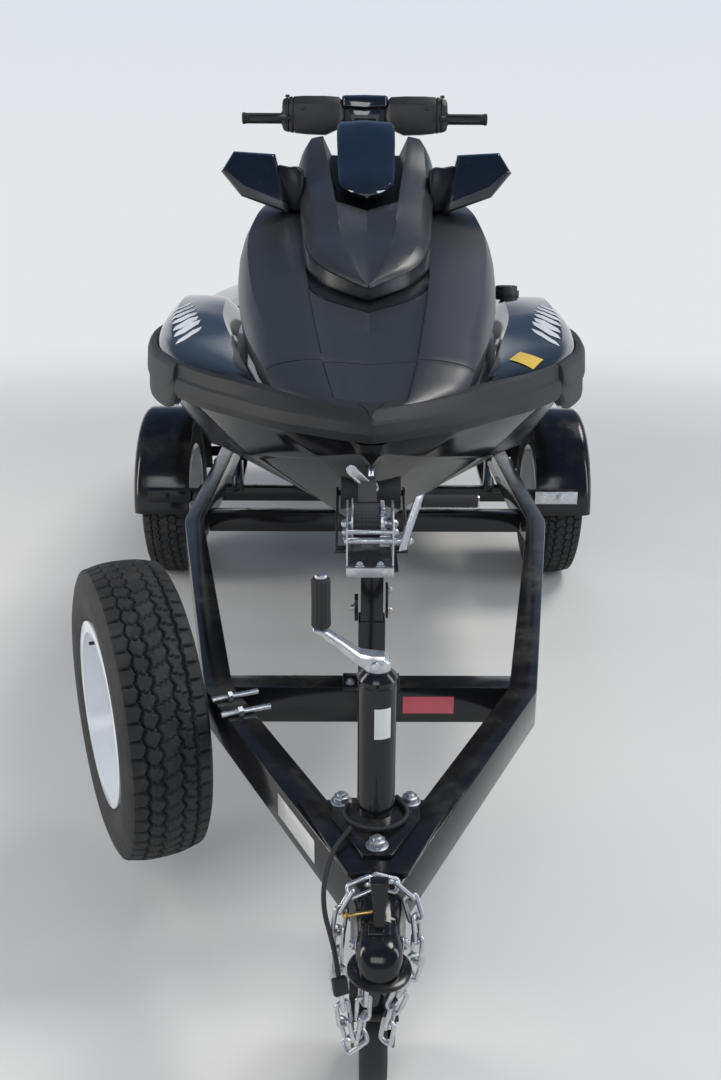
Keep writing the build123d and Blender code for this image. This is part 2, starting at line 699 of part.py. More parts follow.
def grab_handle():
    """Rear hand hold behind the passenger seat."""
    path = FilletPolyline(
        (-150, 1806, 1040), (-150, 1876, 1078), (150, 1876, 1078), (150, 1806, 1040), radius=34)
    return sweep(Plane(path @ 0, z_dir=path % 0) * Circle(13), path=path)


def footwell_mats():
    """Traction mats in both footwells and on the stern platform."""
    mat = lofted([
        (450, [(246, 728), (246, 733), (444, 733), (444, 728)]),
        (1300, [(246, 724), (246, 729), (444, 729), (444, 724)]),
        (1680, [(250, 729), (250, 734), (426, 734), (426, 729)]),
    ])
    platform = box((-370, 370), (1918, STERN_Y - 14), (850, 855))
    return Compound(children=[*pair(mat).solids(), platform])


def band(path, depth, lip):
    """A moulded band along a path in plan; rows are x, y, lower z, upper z."""
    rows = []
    outer = offset_line([(x, y) for x, y, _, _ in path], 0.0)
    inner = offset_line(outer, -depth)
    proud = offset_line(outer, lip)
    for (_, _, low, high), near, edge, far in zip(path, inner, outer, proud):
        ring = [
            (*near, low + 6), (*edge, low), (*far, low + 14),
            (*far, high - 24), (*edge, high - 4), (*near, high),
        ]
        rows.append(make_face(Polyline(*ring, close=True)))
    return loft(rows, ruled=True)


def bow_bumper():
    """Soft band round the bow, scribed to the deck's edge."""
    path = list(BOW_BUMPER) + [(-x, y, low, high) for x, y, low, high in BOW_BUMPER[-2::-1]]
    return band(path, BUMPER_DEPTH, 6) - deck_solid() - hull_solid()


def side_bumpers():
    """Rub rails along the gunwales, aft of the bow bumper."""
    return pair(band(SIDE_BUMPER, BUMPER_DEPTH, 8) - deck_solid() - hull_solid())


def sponsons():
    """Stabiliser strips low on the hull sides near the stern."""
    top_share, root = 0.32, 2.0
    rows = []
    for y, grow in ((1450, 4), (1560, 26), (2080, 26), (2150, 10)):
        _, _, cx, cz, gx, sz = at(HULL, y)
        low_x, top_x = cx + root, cx + (gx - BUMPER_DEPTH - cx) * top_share + root
        top_z = cz + (sz - cz) * top_share
        rows.append((y, [(low_x, cz), (low_x + grow, cz - 4), (top_x + grow * 0.5, top_z), (top_x, top_z)]))
    return pair(lofted(rows))


def engine_block():
    """The engine as one plain block at its place over the keel."""
    return box((-165, 165), ENGINE_Y, (566, 836))


def bow_eye():
    """Ring on the stem that the winch strap hooks to."""
    return Plane(origin=(0, -1306, 838), z_dir=(1, 0, 0)) * Torus(17, 5) - hull_solid() - stem()


def fuel_cap():
    """Filler cap on the port fairing, scribed to the deck."""
    x, y, z = FUEL_CAP
    return Pos(x, y, z) * Cylinder(40, 26) + Pos(x, y, z + 18) * Cylinder(34, 18) - deck_solid()


def tow_hook():
    """Towing eye on the stern platform's edge, on a foot plate."""
    y, z = TOW_EYE
    foot = box((-28, 28), (y - 20, y + 20), (z - 28, z - 22))
    eye = Plane(origin=(0, y, z), z_dir=(0, 1, 0)) * (Cylinder(24, 10) - Cylinder(13, 10))
    return foot + (eye - box((-30, 30), (y - 40, y + 40), (z - 60, z - 25)))


def boarding_step():
    """U-shaped foot bar folded up under the platform, with an eye at each end on the transom's ears."""
    top_z = STEP_PIVOT_Z + STEP_REACH
    path = FilletPolyline(
        (-STEP_HALF, STEP_PIVOT_Y, STEP_PIVOT_Z), (-STEP_HALF, STEP_PIVOT_Y, top_z),
        (STEP_HALF, STEP_PIVOT_Y, top_z), (STEP_HALF, STEP_PIVOT_Y, STEP_PIVOT_Z), radius=30)
    step = sweep(Plane(path @ 0, z_dir=path % 0) * Circle(9), path=path)
    eye_end, pivot = STEP_HALF + 10, (STEP_PIVOT_Y, STEP_PIVOT_Z)
    eyes = cross_bar(eye_end, 12, *pivot) - cross_bar(eye_end - 20, 13, *pivot)
    return step + eyes - cross_bar(eye_end + 20, 6.3, *pivot)


def step_ears():
    """Ears on the transom with the step's pivot pins."""
    x, wall_y = STEP_HALF + 15, TRANSOM_Y + 0.5
    ear = box((x, x + 6), (wall_y, STEP_PIVOT_Y + 14), (STEP_PIVOT_Z - 16, STEP_PIVOT_Z + 16))
    foot = box((x - 4, x + 26), (wall_y, wall_y + 4.5), (STEP_PIVOT_Z - 24, STEP_PIVOT_Z + 24))
    pin = cylinder((STEP_HALF - 14, STEP_PIVOT_Y, STEP_PIVOT_Z), (x + 3, STEP_PIVOT_Y, STEP_PIVOT_Z), 6)
    return pair(ear + foot + pin)


def hull_fittings():
    """Bow eye, ski tow eye and the boarding step's ears."""
    return Compound(children=[*bow_eye().solids(), *tow_hook().solids(), *step_ears().solids()])


# Steering, in a frame whose Z runs up the column and whose origin is on the bar


def steering_frame():
    """Plane on the bar whose Z runs up the steering column."""
    tilt = math.radians(COLUMN_TILT)
    return Plane(origin=(0, BAR_Y, BAR_Z), x_dir=(1, 0, 0), z_dir=(0, math.sin(tilt), math.cos(tilt)))


def handlebar():
    """Column, clamp and cross tube, with the two finger levers."""
    column = steering_frame() * Pos(0, 0, -175) * Cylinder(24, 230)
    clamp = steering_frame() * Pos(0, 0, -30) * Box(70, 50, 58)
    bar = cylinder((-BAR_HALF + 6, BAR_Y, BAR_Z), (BAR_HALF - 6, BAR_Y, BAR_Z), 11)
    lever = profile_xy([(240, 352), (262, 350), (372, 374), (372, 384), (262, 361), (240, 361)], 1566, 1582)
    return Compound(children=[*(column + clamp + bar).solids(), *pair(lever).solids()])


def pod_outline():
    """The handlebar cover's port block seen from ahead."""
    return [(84, 1532), (232, 1527), (257, 1540), (257, 1622), (244, 1638), (110, 1646), (62, 1610)]


def handlebar_pod():
    """Two side blocks and a raised centre over the bar, open along the tube."""
    block = lofted([(y, pod_outline()) for y in (362, 470)])
    bridge = box((-84, 84), (384, 462), (1606, 1646))
    whole = block + mirrored(block) + bridge
    tube_way = cylinder((-300, BAR_Y, BAR_Z), (300, BAR_Y, BAR_Z), 11.5)
    return whole - tube_way - steering_frame() * Pos(0, 0, -32) * Box(74, 56, 64)


def grips():
    """Rubber sleeves on both ends of the bar."""
    grip = cylinder((262, BAR_Y, BAR_Z), (BAR_HALF, BAR_Y, BAR_Z), 17)
    way = cylinder((200, BAR_Y, BAR_Z), (BAR_HALF - 5.5, BAR_Y, BAR_Z), 11.2)
    return pair(grip - way)


# Trailer


def bent_strip(points, bends, width, z0, z1):
    """A bar of constant width with rounded bends, whose outer edge follows points in plan."""
    outer_points = [(x, y, z0) for x, y in points]
    inner_points = [(x, y, z0) for x, y in offset_line([(x, y) for x, y in points], -width)]
    outer = FilletPolyline(*outer_points, radius=list(bends))
    inner = FilletPolyline(*inner_points, radius=[bend - width for bend in bends])
    ends = [Line(outer @ 0, inner @ 0), Line(outer @ 1, inner @ 1)]
    return extrude(make_face([*outer.edges(), *inner.edges(), *ends]), amount=z1 - z0, dir=(0, 0, 1))


def rail_outer():
    """The port rail's outer form, solid."""
    return bent_strip(RAIL, RAIL_BENDS, RAIL_WIDTH, RAIL_TOP_Z - RAIL_HEIGHT, RAIL_TOP_Z)


def rail():
    """Box-section side rail with two bends, drawn in to the coupler and closed at both ends."""
    wall = RAIL_WALL
    inside = [(x - wall, y) for x, y in RAIL]
    inside[0] = (inside[0][0] + 10, inside[0][1] + 20)
    inside[-1] = (inside[-1][0], inside[-1][1] - wall)
    bends = [bend - wall for bend in RAIL_BENDS]
    heights = (RAIL_TOP_Z - RAIL_HEIGHT + wall, RAIL_TOP_Z - wall)
    cavity = bent_strip(inside, bends, RAIL_WIDTH - 2 * wall, *heights)
    other_side = box((-400, 0.5), (-2300, -1500), (300, 600))
    return rail_outer() - cavity - other_side


def crossmember(y, half, top, depth=50.0, height=55.0):
    """A box section across the trailer, open at its ends."""
    wall = RAIL_WALL
    outer = box((-half, half), (y - depth / 2, y + depth / 2), (top - height, top))
    inside = (y - depth / 2 + wall, y + depth / 2 - wall)
    return outer - box((-half - 1, half + 1), inside, (top - height + wall, top - wall))


def axle():
    """Square beam with a round spindle at each end."""
    beam_end, spindle_end = WHEEL_X - 87, WHEEL_X + 41
    beam = box((-beam_end, beam_end), (AXLE_Y - 25, AXLE_Y + 25), (TYRE_R - 25, TYRE_R + 25))
    beam -= box((8 - beam_end, beam_end - 8), (AXLE_Y - 20, AXLE_Y + 20), (TYRE_R - 20, TYRE_R + 20))
    return beam + cylinder((-spindle_end, AXLE_Y, TYRE_R), (spindle_end, AXLE_Y, TYRE_R), SPINDLE_R)


def leaf_arc(half_span, sag, z_end, thickness, x0, x1):
    """A curved spring leaf: ends at z_end, sagging by sag at the axle."""
    ends = [(AXLE_Y - half_span, z_end), (AXLE_Y, z_end - sag), (AXLE_Y + half_span, z_end)]
    low = ThreePointArc(*[(x0, y, z) for y, z in ends])
    high = ThreePointArc(*[(x0, y, z + thickness) for y, z in ends])
    sides = [Line(low @ 0, high @ 0), Line(low @ 1, high @ 1)]
    return extrude(make_face([low, high, *sides]), x1 - x0, dir=(1, 0, 0))


def leaf_springs():
    """Three-leaf packs on pads over the axle, with hangers up to the rails."""
    x0, x1 = 442.0, 487.0
    base = TYRE_R + 25 + 12
    pack = leaf_arc(300, 62, base + 62, 7.5, x0, x1)
    pack += leaf_arc(210, 31, base + 31 - 7.2, 7.4, x0, x1)
    pack += box((x0, x1), (AXLE_Y - 50, AXLE_Y + 50), (TYRE_R + 25.5, base - 6))
    for y in (AXLE_Y - 300, AXLE_Y + 300):
        eye = cylinder((x0, y, base + 66), (x1, y, base + 66), 14)
        hanger = box((x0 - 5, x0), (y - 22, y + 22), (base + 46, RAIL_TOP_Z - RAIL_HEIGHT - 0.5))
        pack += eye + hanger + Pos(x1 + 5 - x0, 0, 0) * hanger
    return pair(pack)


def fender():
    """Round mudguard: a sheet with a rolled corner and a deep lip along its outer edge."""
    (x0, x1), sheet, r = FENDER_X, 3.0, FENDER_R
    corner, lip_r = FENDER_CORNER, FENDER_R - FENDER_LIP
    inner_corner = corner - sheet
    bend = math.sqrt(0.5)
    middle = (x1 - corner, r - corner)
    outer_arc = ThreePointArc(
        (middle[0], 0, r), (middle[0] + corner * bend, 0, middle[1] + corner * bend), (x1, 0, middle[1]))
    inner_arc = ThreePointArc(
        (middle[0], 0, r - sheet), (middle[0] + inner_corner * bend, 0, middle[1] + inner_corner * bend),
        (x1 - sheet, 0, middle[1]))
    outline = [
        Line((x0, 0, r), outer_arc @ 0), outer_arc, Line(outer_arc @ 1, (x1, 0, lip_r)),
        Line((x1, 0, lip_r), (x1 - sheet, 0, lip_r)), Line((x1 - sheet, 0, lip_r), inner_arc @ 1), inner_arc,
        Line(inner_arc @ 0, (x0, 0, r - sheet)), Line((x0, 0, r - sheet), (x0, 0, r)),
    ]
    ring = Pos(0, AXLE_Y, TYRE_R) * revolve(make_face(outline), axis=Axis.X)
    return ring & box((x0 - 1, x1 + 1), (AXLE_Y - 400, AXLE_Y + 400), (TYRE_R + 12, 800))


def fender_bracket():
    """Flat bar bolted to the mudguard's front, on a drop plate off the rail."""
    low, high, end = 350.0, 392.0, 730.0
    front = [AXLE_Y - math.sqrt(FENDER_R ** 2 - (z - TYRE_R) ** 2) - 1.5 for z in (low, high)]
    bar = profile_yz([(front[0] - 8, low), (front[0], low), (front[1], high), (front[1] - 8, high)], 500, end)
    return bar + box((494.3, 502), (front[0] - 10, front[0] + 38), (low, RAIL_TOP_Z - 8))


def fender_brackets():
    """The front bars and the same at the rear."""
    front = fender_bracket()
    return [front, mirror(front, about=Plane.XZ.offset(-AXLE_Y))]





def tyre():
    """Hollow tyre carcass, bead to bead and back inside."""
    outer = [(68, 168), (68, 186), (82, 222), (82, 246), (74, 272), (60, 286), (30, TYRE_R)]
    inner = [(22, TYRE_R - 12), (52, TYRE_R - 15), (64, 264), (71, 244), (71, 224), (58, 190), (56, 168)]
    return turned(outer + [(-x, r) for x, r in outer[::-1]] + [(-x, r) for x, r in inner[::-1]] + inner)


def rim():
    """Pressed steel rim: barrel with flanges and a dished disc with vent holes round its edge."""
    vents, vent_r = 10, 10
    flange = [(75, 160), (75, 182), (70, 182), (70, 166)]
    barrel = turned(flange + [(-x, r) for x, r in flange[::-1]])
    disc = turned([(18, 40), (18, 120), (-8, 162), (-2, 164), (24, 122), (24, 40)])
    for i in range(vents):
        disc -= Rot(360.0 / vents * i, 0, 0) * Pos(6, 0, 132) * Rot(0, 60, 0) * Cylinder(vent_r, 60)
    return barrel + disc


def road_rim():
    """A rim with the bearing hub that runs on the axle's spindle."""
    bore = SPINDLE_R + 0.05
    hub = turned([(-44, bore), (-44, 36), (18, 36), (18, 52), (25, 52), (25, 30), (44, 28), (44, bore)])
    return rim() + hub


def wheel_at(shape, side):
    """A wheel's piece at its place on the axle, to port or starboard."""
    placed = Pos(WHEEL_X, AXLE_Y, TYRE_R) * shape
    return placed if side > 0 else mirrored(placed)


def spare_frame():
    """Location of the spare wheel, whose X axis is its own axis."""
    return Pos(*SPARE_CENTRE) * Rot(0, 0, SPARE_YAW)


def spare_at(shape):
    """A wheel's piece at the spare wheel's place."""
    return spare_frame() * shape


def spare_bracket():
    """Plate against the rail's side, with a stub to the rim's disc."""
    plate = spare_frame() * Pos(-92, 0, 0) * Box(8, 150, 130)
    stub = spare_frame() * Pos(-38, 0, 0) * Box(100, 44, 44)
    flange = spare_frame() * Pos(14, 0, 0) * Box(7, 110, 110)
    return plate + stub + flange


def bunk():
    """A padded board along the hull's planing surface."""
    rows = []
    for y in (-50, 400, 1300, 2040):
        inner_top = hull_bottom(392, y) - 1.5
        outer_top = hull_bottom(474, y) - 1.5
        low = inner_top - BUNK_DEPTH
        rows.append((y, [(392, low), (392, inner_top), (474, outer_top), (474, low)]))
    return lofted(rows)


def bunk_brackets():
    """Angle brackets that carry each bunk off its rail."""
    whole = []
    for y in (20, 900, 1900):
        top = hull_bottom(392, y) - 1.5 - BUNK_DEPTH
        post = box((388, 443), (y - 25, y + 25), (RAIL_TOP_Z - RAIL_HEIGHT, top - 1))
        whole.append(post - box((394, 444), (y - 30, y + 30), (400, top - 8)))
    return whole


def frame_brackets():
    """Brackets of the mudguards and of the bunks, on both rails."""
    pieces = fender_brackets() + bunk_brackets()
    return Compound(children=[solid for piece in pieces for solid in pair(piece).solids()])


def winch_post():
    """Square post in two telescoped lengths, its head plate and the arms of the bow roller."""
    half, wall, head_z = 20.0, 3.0, WINCH_BASE_Z - 6.5
    post = box((-half, half), (FRONT_CROSS_Y - half, FRONT_CROSS_Y + half), (RAIL_TOP_Z + 0.5, head_z))
    post -= box((wall - half, half - wall), (FRONT_CROSS_Y - half + wall, FRONT_CROSS_Y + half - wall),
                (RAIL_TOP_Z - 5, head_z - 4))
    grow = half + 4
    sleeve = box((-grow, grow), (FRONT_CROSS_Y - grow, FRONT_CROSS_Y + grow), (RAIL_TOP_Z + 0.5, 628))
    sleeve -= box((-half, half), (FRONT_CROSS_Y - half, FRONT_CROSS_Y + half), (RAIL_TOP_Z, 630))
    foot = box((-52, 52), (FRONT_CROSS_Y - 38, FRONT_CROSS_Y + 24), (RAIL_TOP_Z + 0.5, RAIL_TOP_Z + 6))
    foot -= box((-half, half), (FRONT_CROSS_Y - half, FRONT_CROSS_Y + half), (RAIL_TOP_Z, RAIL_TOP_Z + 8))
    head = box((-46, 46), (-1521, -1392), (head_z, head_z + 6))
    roller_y, roller_z = BOW_ROLLER
    arm_outline = [
        (-1400, head_z), (-1400, head_z + 13), (roller_y - 14, roller_z + 8), (roller_y + 14, roller_z + 8),
        (roller_y + 14, roller_z - 12), (-1380, head_z),
    ]
    arm = profile_yz(arm_outline, 62, 67) + box((46, 67), (-1420, -1392), (head_z, head_z + 6))
    pin = cylinder((-67, *BOW_ROLLER), (67, *BOW_ROLLER), 6)
    return post + sleeve + foot + head + arm + mirrored(arm) + pin


def bow_roller():
    """Waisted rubber roller under the stem, on the post's pin."""
    y, z = BOW_ROLLER
    ring = turned([(-58, 6.5), (-58, 33), (-20, 24), (20, 24), (58, 33), (58, 6.5)])
    return Pos(0, y, z) * ring


def winch_frame():
    """Two lightened cheek plates on a base, tied by a rod, with the drum and pinion shafts."""
    left, right, sheet = -46.0, 35.0, 3.0
    base = box((left, right + sheet), (-1526, -1396), (WINCH_BASE_Z, WINCH_BASE_Z + 3))
    lip = box((left, right + sheet), (-1526, -1523), (WINCH_BASE_Z - 14, WINCH_BASE_Z + 1))
    outline = [(-1514, 728), (-1396, 728), (-1412, 800), (-1432, 828), (-1464, 828), (-1514, 800)]
    cheek = profile_yz(outline, left, left + sheet)
    for y, z, r in ((-1492, 800, 6), (-1424, 752, 10), (-1474, 748, 9)):
        cheek -= cylinder((left - 1, y, z), (left + sheet + 1, y, z), r)
    shafts = cylinder((left - 8, WINCH_Y, WINCH_AXIS_Z), (right + 10, WINCH_Y, WINCH_AXIS_Z), 7)
    shafts += cylinder((left - 4, PINION_Y, PINION_Z), (62, PINION_Y, PINION_Z), 6)
    shafts += cylinder((left, -1503, 790), (right + sheet, -1503, 790), 4)
    pinion = toothed(PINION_R, 8, 13, 30).moved(Location((0, PINION_Y, PINION_Z)))
    return base + lip + cheek + Pos(right - left, 0, 0) * cheek + shafts + pinion + winch_crank()


def toothed(radius, teeth, x0, x1):
    """A spur gear about the X axis, its teeth as a radial zigzag with flats."""
    depth = 4.0
    outline = []
    for i in range(teeth):
        for share, r in ((0.0, radius - depth), (0.3, radius - depth), (0.45, radius), (0.85, radius)):
            angle = 2 * math.pi * (i + share) / teeth
            outline.append((r * math.cos(angle), r * math.sin(angle)))
    return profile_yz(outline, x0, x1)


def winch_drum():
    """Spool with its side disc, the strap wound on it, and the big gear."""
    bore = 7.5
    roll = turned([(-30, bore), (-30, STRAP_R), (11, STRAP_R), (11, bore)])
    disc = turned([(-37, bore), (-37, GEAR_R + 10), (-34, GEAR_R + 10), (-34, bore)])
    gear = toothed(GEAR_R + 6, GEAR_TEETH, 15, 22) - cylinder((10, 0, 0), (30, 0, 0), bore)
    side = turned([(11.5, bore), (11.5, 30), (15.5, 30), (15.5, bore)])
    core = turned([(-34.5, bore), (-34.5, 14), (-29.5, 14), (-29.5, bore)])
    return Pos(0, WINCH_Y, WINCH_AXIS_Z) * Compound(children=[*(roll + disc + core + side + gear).solids()])


def winch_strap():
    """Taut webbing from the drum up to the bow eye."""
    y0, z0 = WINCH_Y + 4, WINCH_AXIS_Z + STRAP_R + 0.6
    outline = [(y0, z0), (-1340, 838), (-1340, 841), (y0, z0 + 3)]
    hook = box((-8, 8), (-1340, -1330), (832, 845))
    return profile_yz(outline, -25, 9) + hook


def winch_crank():
    """Flat bar crank on the pinion shaft, with a round grip."""
    hub = cylinder((50, PINION_Y, PINION_Z), (58, PINION_Y, PINION_Z), 13)
    sheet, half_width = 5.0, 11.0
    sections = []
    for x, y, z in ((50, PINION_Y, PINION_Z), (76, PINION_Y + 26, 846)):
        corners = ((x, -half_width), (x, half_width), (x + sheet, half_width), (x + sheet, -half_width))
        sections.append(make_face(Polyline(*[(px, y + dy, z) for px, dy in corners], close=True)))
    arm = loft(sections, ruled=True)
    grip = cylinder((77, PINION_Y + 26, 838), (188, PINION_Y + 26, 838), 11)
    return hub + arm + grip


def coupler():
    """Pressed socket for the tow ball on a channel over the rails' nose, with its latch lever."""
    wall, rear_y, back_z = 4.0, -2116.0, (430.0, 500.0)
    ball_z = COUPLER_LOW + 16
    neck = lofted([
        (BALL_Y - 4, [(-24.5, COUPLER_LOW), (24.5, COUPLER_LOW), (24.5, 489), (-24.5, 489)]),
        (-2150, [(-24.5, COUPLER_LOW - 6), (24.5, COUPLER_LOW - 6), (24.5, 500), (-24.5, 500)]),
        (rear_y, [(-36, back_z[0]), (36, back_z[0]), (36, back_z[1]), (-36, back_z[1])]),
    ])
    channel = lofted([
        (BALL_Y - 5, [(wall - 24.5, 400), (24.5 - wall, 400), (24.5 - wall, 485), (wall - 24.5, 485)]),
        (rear_y - 5, [(wall - 24.5, 400), (24.5 - wall, 400), (24.5 - wall, 494), (wall - 24.5, 494)]),
    ])
    rim = cylinder((0, BALL_Y, COUPLER_LOW), (0, BALL_Y, COUPLER_LOW + 5), RIM_R)
    cup = cylinder((0, BALL_Y, COUPLER_LOW), (0, BALL_Y, ball_z), DOME_R)
    dome = Pos(0, BALL_Y, ball_z) * Sphere(DOME_R)
    body = (neck - channel) + rim + cup + (dome - box((-60, 60), (-2300, -2100), (400, COUPLER_LOW)))
    body += coupler_latch()
    body -= cylinder((0, BALL_Y, COUPLER_LOW - 20), (0, BALL_Y, ball_z), BALL_R)
    return body - Pos(0, BALL_Y, ball_z) * Sphere(BALL_R)


def coupler_latch():
    """Upright lever behind the socket, wide at its top, that clamps the ball."""
    faces = []
    for half, (front_y, front_z), (rear_y, rear_z) in (
            (6, (-2176, 487), (-2164, 492)), (12, (-2162, 548), (-2148, 550))):
        front = [(-half, front_y, front_z), (half, front_y, front_z)]
        rear = [(half, rear_y, rear_z), (-half, rear_y, rear_z)]
        faces.append(make_face(Polyline(*front, *rear, close=True)))
    return loft(faces, ruled=True)


def gusset_plate():
    """Plate across the rails' nose that carries the jack."""
    outline = [(-40, -2080), (40, -2080), (114, -1906), (-114, -1906)]
    plate = profile_xy(outline, RAIL_TOP_Z + 0.5, GUSSET_TOP_Z)
    return plate - Pos(0, JACK_Y, RAIL_TOP_Z) * Cylinder(JACK_TUBE[2] + 0.2, 40)


def jack_flange():
    """Three-cornered flange round the jack's tube, held by three bolts."""
    low = GUSSET_TOP_Z + 0.5
    outline = [(-20, -2050), (20, -2050), (62, -1962), (62, -1910), (-62, -1910), (-62, -1962)]
    flange = profile_xy(outline, low, low + FLANGE_SHEET)
    for x, y in ((0, -2029), (-50, -1921), (50, -1921)):
        flange += cylinder((x, y, low), (x, y, low + FLANGE_SHEET + 7), 10)
    return flange


def light_harness():
    """Corrugated lighting lead: a loop laid round the jack's foot, and a run down the tongue to its plug."""
    r = HARNESS_R
    sleeve_r = r + 1.2
    loop_z = GUSSET_TOP_Z + 0.5 + FLANGE_SHEET + sleeve_r + 0.4
    loop = CenterArc((0, JACK_Y - 14, loop_z), 44, 32, -244)
    loop_tube = sweep(Plane(loop @ 0, z_dir=loop % 0) * Circle(r), path=loop)
    sleeve = cylinder(loop @ 0, (loop @ 0) - (loop % 0) * 16, sleeve_r)
    run = FilletPolyline(*HARNESS_RUN, radius=36)
    run_tube = sweep(Plane(run @ 0, z_dir=run % 0) * Circle(r), path=run)
    plug = Plane(run @ 1, z_dir=run % 1) * Pos(0, 0, 9) * Box(10, 19, 22)
    return Compound(children=[*(loop_tube + sleeve).solids(), *(run_tube + plug).solids()])


def jack_tube():
    """Outer tube with its bolted flange and a rounded cap over the screw."""
    low, high, outer_r, inner_r = JACK_TUBE
    tube = cylinder((0, JACK_Y, low), (0, JACK_Y, high), outer_r)
    bore = cylinder((0, JACK_Y, low - 1), (0, JACK_Y, high - 6), inner_r)
    side, crown = outer_r - 1, outer_r - 8
    cap_profile = [(0, high - 1), (side, high - 1), (side, high + 10), (crown, high + 18), (0, high + 20)]
    cap = revolve(make_face(Polyline(*[(r, 0, z) for r, z in cap_profile], close=True)), axis=Axis.Z)
    return tube + jack_flange() - bore + Pos(0, JACK_Y, 0) * cap


def jack_crank():
    """Cast crank: a round boss on the screw, a tapered flat arm and an upright grip."""
    top_z = JACK_TUBE[1] + 20.5
    elbow_x, elbow_z, grip_r = -77.0, top_z + 60, 11.0
    boss = cylinder((0, JACK_Y, top_z), (0, JACK_Y, top_z + 18), 17)
    sections = []
    for x, half, low, high in ((0, 13, top_z + 6, top_z + 18), (elbow_x - 6, 9, elbow_z - 4, elbow_z + 4)):
        corners = ((-half, low), (half, low), (half, high), (-half, high))
        sections.append(make_face(Polyline(*[(x, JACK_Y + dy, z) for dy, z in corners], close=True)))
    arm = loft(sections, ruled=True)
    grip = cylinder((elbow_x, JACK_Y, elbow_z - 2), (elbow_x, JACK_Y, elbow_z + 76), grip_r)
    return boss + arm + grip


def jack_leg():
    """Inner tube that the screw raises and lowers."""
    low, high, r = JACK_LEG
    return cylinder((0, JACK_Y, low), (0, JACK_Y, high), r)


def jack_caster():
    """Swivel fork under the leg, with the wheel's pin."""
    top, axle_y = JACK_LEG[0] - 1, JACK_Y + CASTER_TRAIL
    under, low = top - 8, CASTER_R - 14
    plate = box((-38, 38), (JACK_Y - 30, axle_y + 26), (under, top))
    outline = [(JACK_Y - 24, under), (axle_y + 26, under), (axle_y + 14, low), (axle_y - 14, low)]
    cheek = profile_yz(outline, 30, 35)
    pin = cylinder((-35, axle_y, CASTER_R), (35, axle_y, CASTER_R), 7)
    return plate + cheek + mirrored(cheek) + pin


def jack_wheel():
    """Solid rubber wheel with chamfered shoulders."""
    half, shoulder, bore = CASTER_WIDTH / 2, 8, 7.05
    ring = turned([
        (-half, bore), (-half, CASTER_R - shoulder), (shoulder - half, CASTER_R), (half - shoulder, CASTER_R),
        (half, CASTER_R - shoulder), (half, bore),
    ])
    return Pos(0, JACK_Y + CASTER_TRAIL, CASTER_R) * ring


def tail_lights():
    """Lamp blocks behind the rear crossmember."""
    return pair(box((380, 480), (2092, 2122), (440, 500)))


def crossmembers():
    """Three box sections between the rails, the front one level with their tops, and the nose plate."""
    front = crossmember(FRONT_CROSS_Y, 280, RAIL_TOP_Z, height=RAIL_HEIGHT)
    front = front - rail_outer() - mirrored(rail_outer())
    middle = crossmember(MIDDLE_CROSS_Y, 443, CROSS_TOP_Z)
    rear = crossmember(REAR_CROSS_Y, 443, CROSS_TOP_Z - 10)
    pieces = (front, middle, rear, gusset_plate())
    return Compound(children=[solid for piece in pieces for solid in piece.solids()])


PARTS = {
    "hull": hull,
    "ride_plate": ride_plate,
    "intake_grate": intake_grate,
    "jet_pump": jet_pump,
    "impeller": impeller,
    "steering_nozzle": steering_nozzle,
    "reverse_bucket": reverse_bucket,
    "deck": deck,
    "stern_deck": stern_deck,
    "nose_panel": nose_panel,
    "hood_panel": hood_panel,
    "upper_cowl": upper_cowl,
    "display_visor": display_visor,
    "mirrors": mirrors,
    "mirror_glass": mirror_glass,
    "storage_bin": storage_bin,
    "console": console,
    "glovebox_lid": glovebox_lid,
    "driver_seat": driver_seat,
    "passenger_seat": passenger_seat,
    "grab_handle": grab_handle,
    "deck_mats": footwell_mats,
    "bow_bumper": bow_bumper,
    "side_bumpers": side_bumpers,
    "sponsons": sponsons,
    "engine_block": engine_block,
    "hull_fittings": hull_fittings,
    "boarding_step": boarding_step,
    "fuel_cap": fuel_cap,
    "handlebar": handlebar,
    "handlebar_pod": handlebar_pod,
    "grips": grips,
    "rail_left": rail,
    "rail_right": lambda: mirrored(rail()),
    "crossmembers": crossmembers,
    "axle": axle,
    "leaf_springs": leaf_springs,
    "fenders": lambda: pair(fender()),
    "frame_brackets": frame_brackets,
    "tyre_left": lambda: wheel_at(tyre(), 1),
    "tyre_right": lambda: wheel_at(tyre(), -1),
    "rim_left": lambda: wheel_at(road_rim(), 1),
    "rim_right": lambda: wheel_at(road_rim(), -1),
    "spare_tyre": lambda: spare_at(tyre()),
    "spare_rim": lambda: spare_at(rim()),
    "spare_bracket": spare_bracket,
    "bunks": lambda: pair(bunk()),
    "winch_post": winch_post,
    "bow_roller": bow_roller,
    "winch_frame": winch_frame,
    "winch_drum": winch_drum,
    "winch_strap": winch_strap,
    "coupler": coupler,
    "jack_tube": jack_tube,
    "jack_crank": jack_crank,
    "light_harness": light_harness,
    "jack_leg": jack_leg,
    "jack_caster": jack_caster,
    "jack_wheel": jack_wheel,
    "tail_lights": tail_lights,
}

os.makedirs("parts", exist_ok=True)
for node, make in PARTS.items():
    export_step(make(), f"parts/{node}.step")
print(len(PARTS), "nodes")
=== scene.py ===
# %% [markdown]
# A personal watercraft on its trailer, in Blender
#
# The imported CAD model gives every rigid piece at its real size, and this lesson dresses it. Each part has
# two cells: one says what the real piece is and why it is made this way, and the next makes it.
#
# Blender's lengths are metres, and the tables of points are in millimetres. +Z is up, -Y is towards the bow and
# the coupler, and +X is port.

# %% Load the frame
import json
import math

import bpy
from mathutils import Matrix, Vector

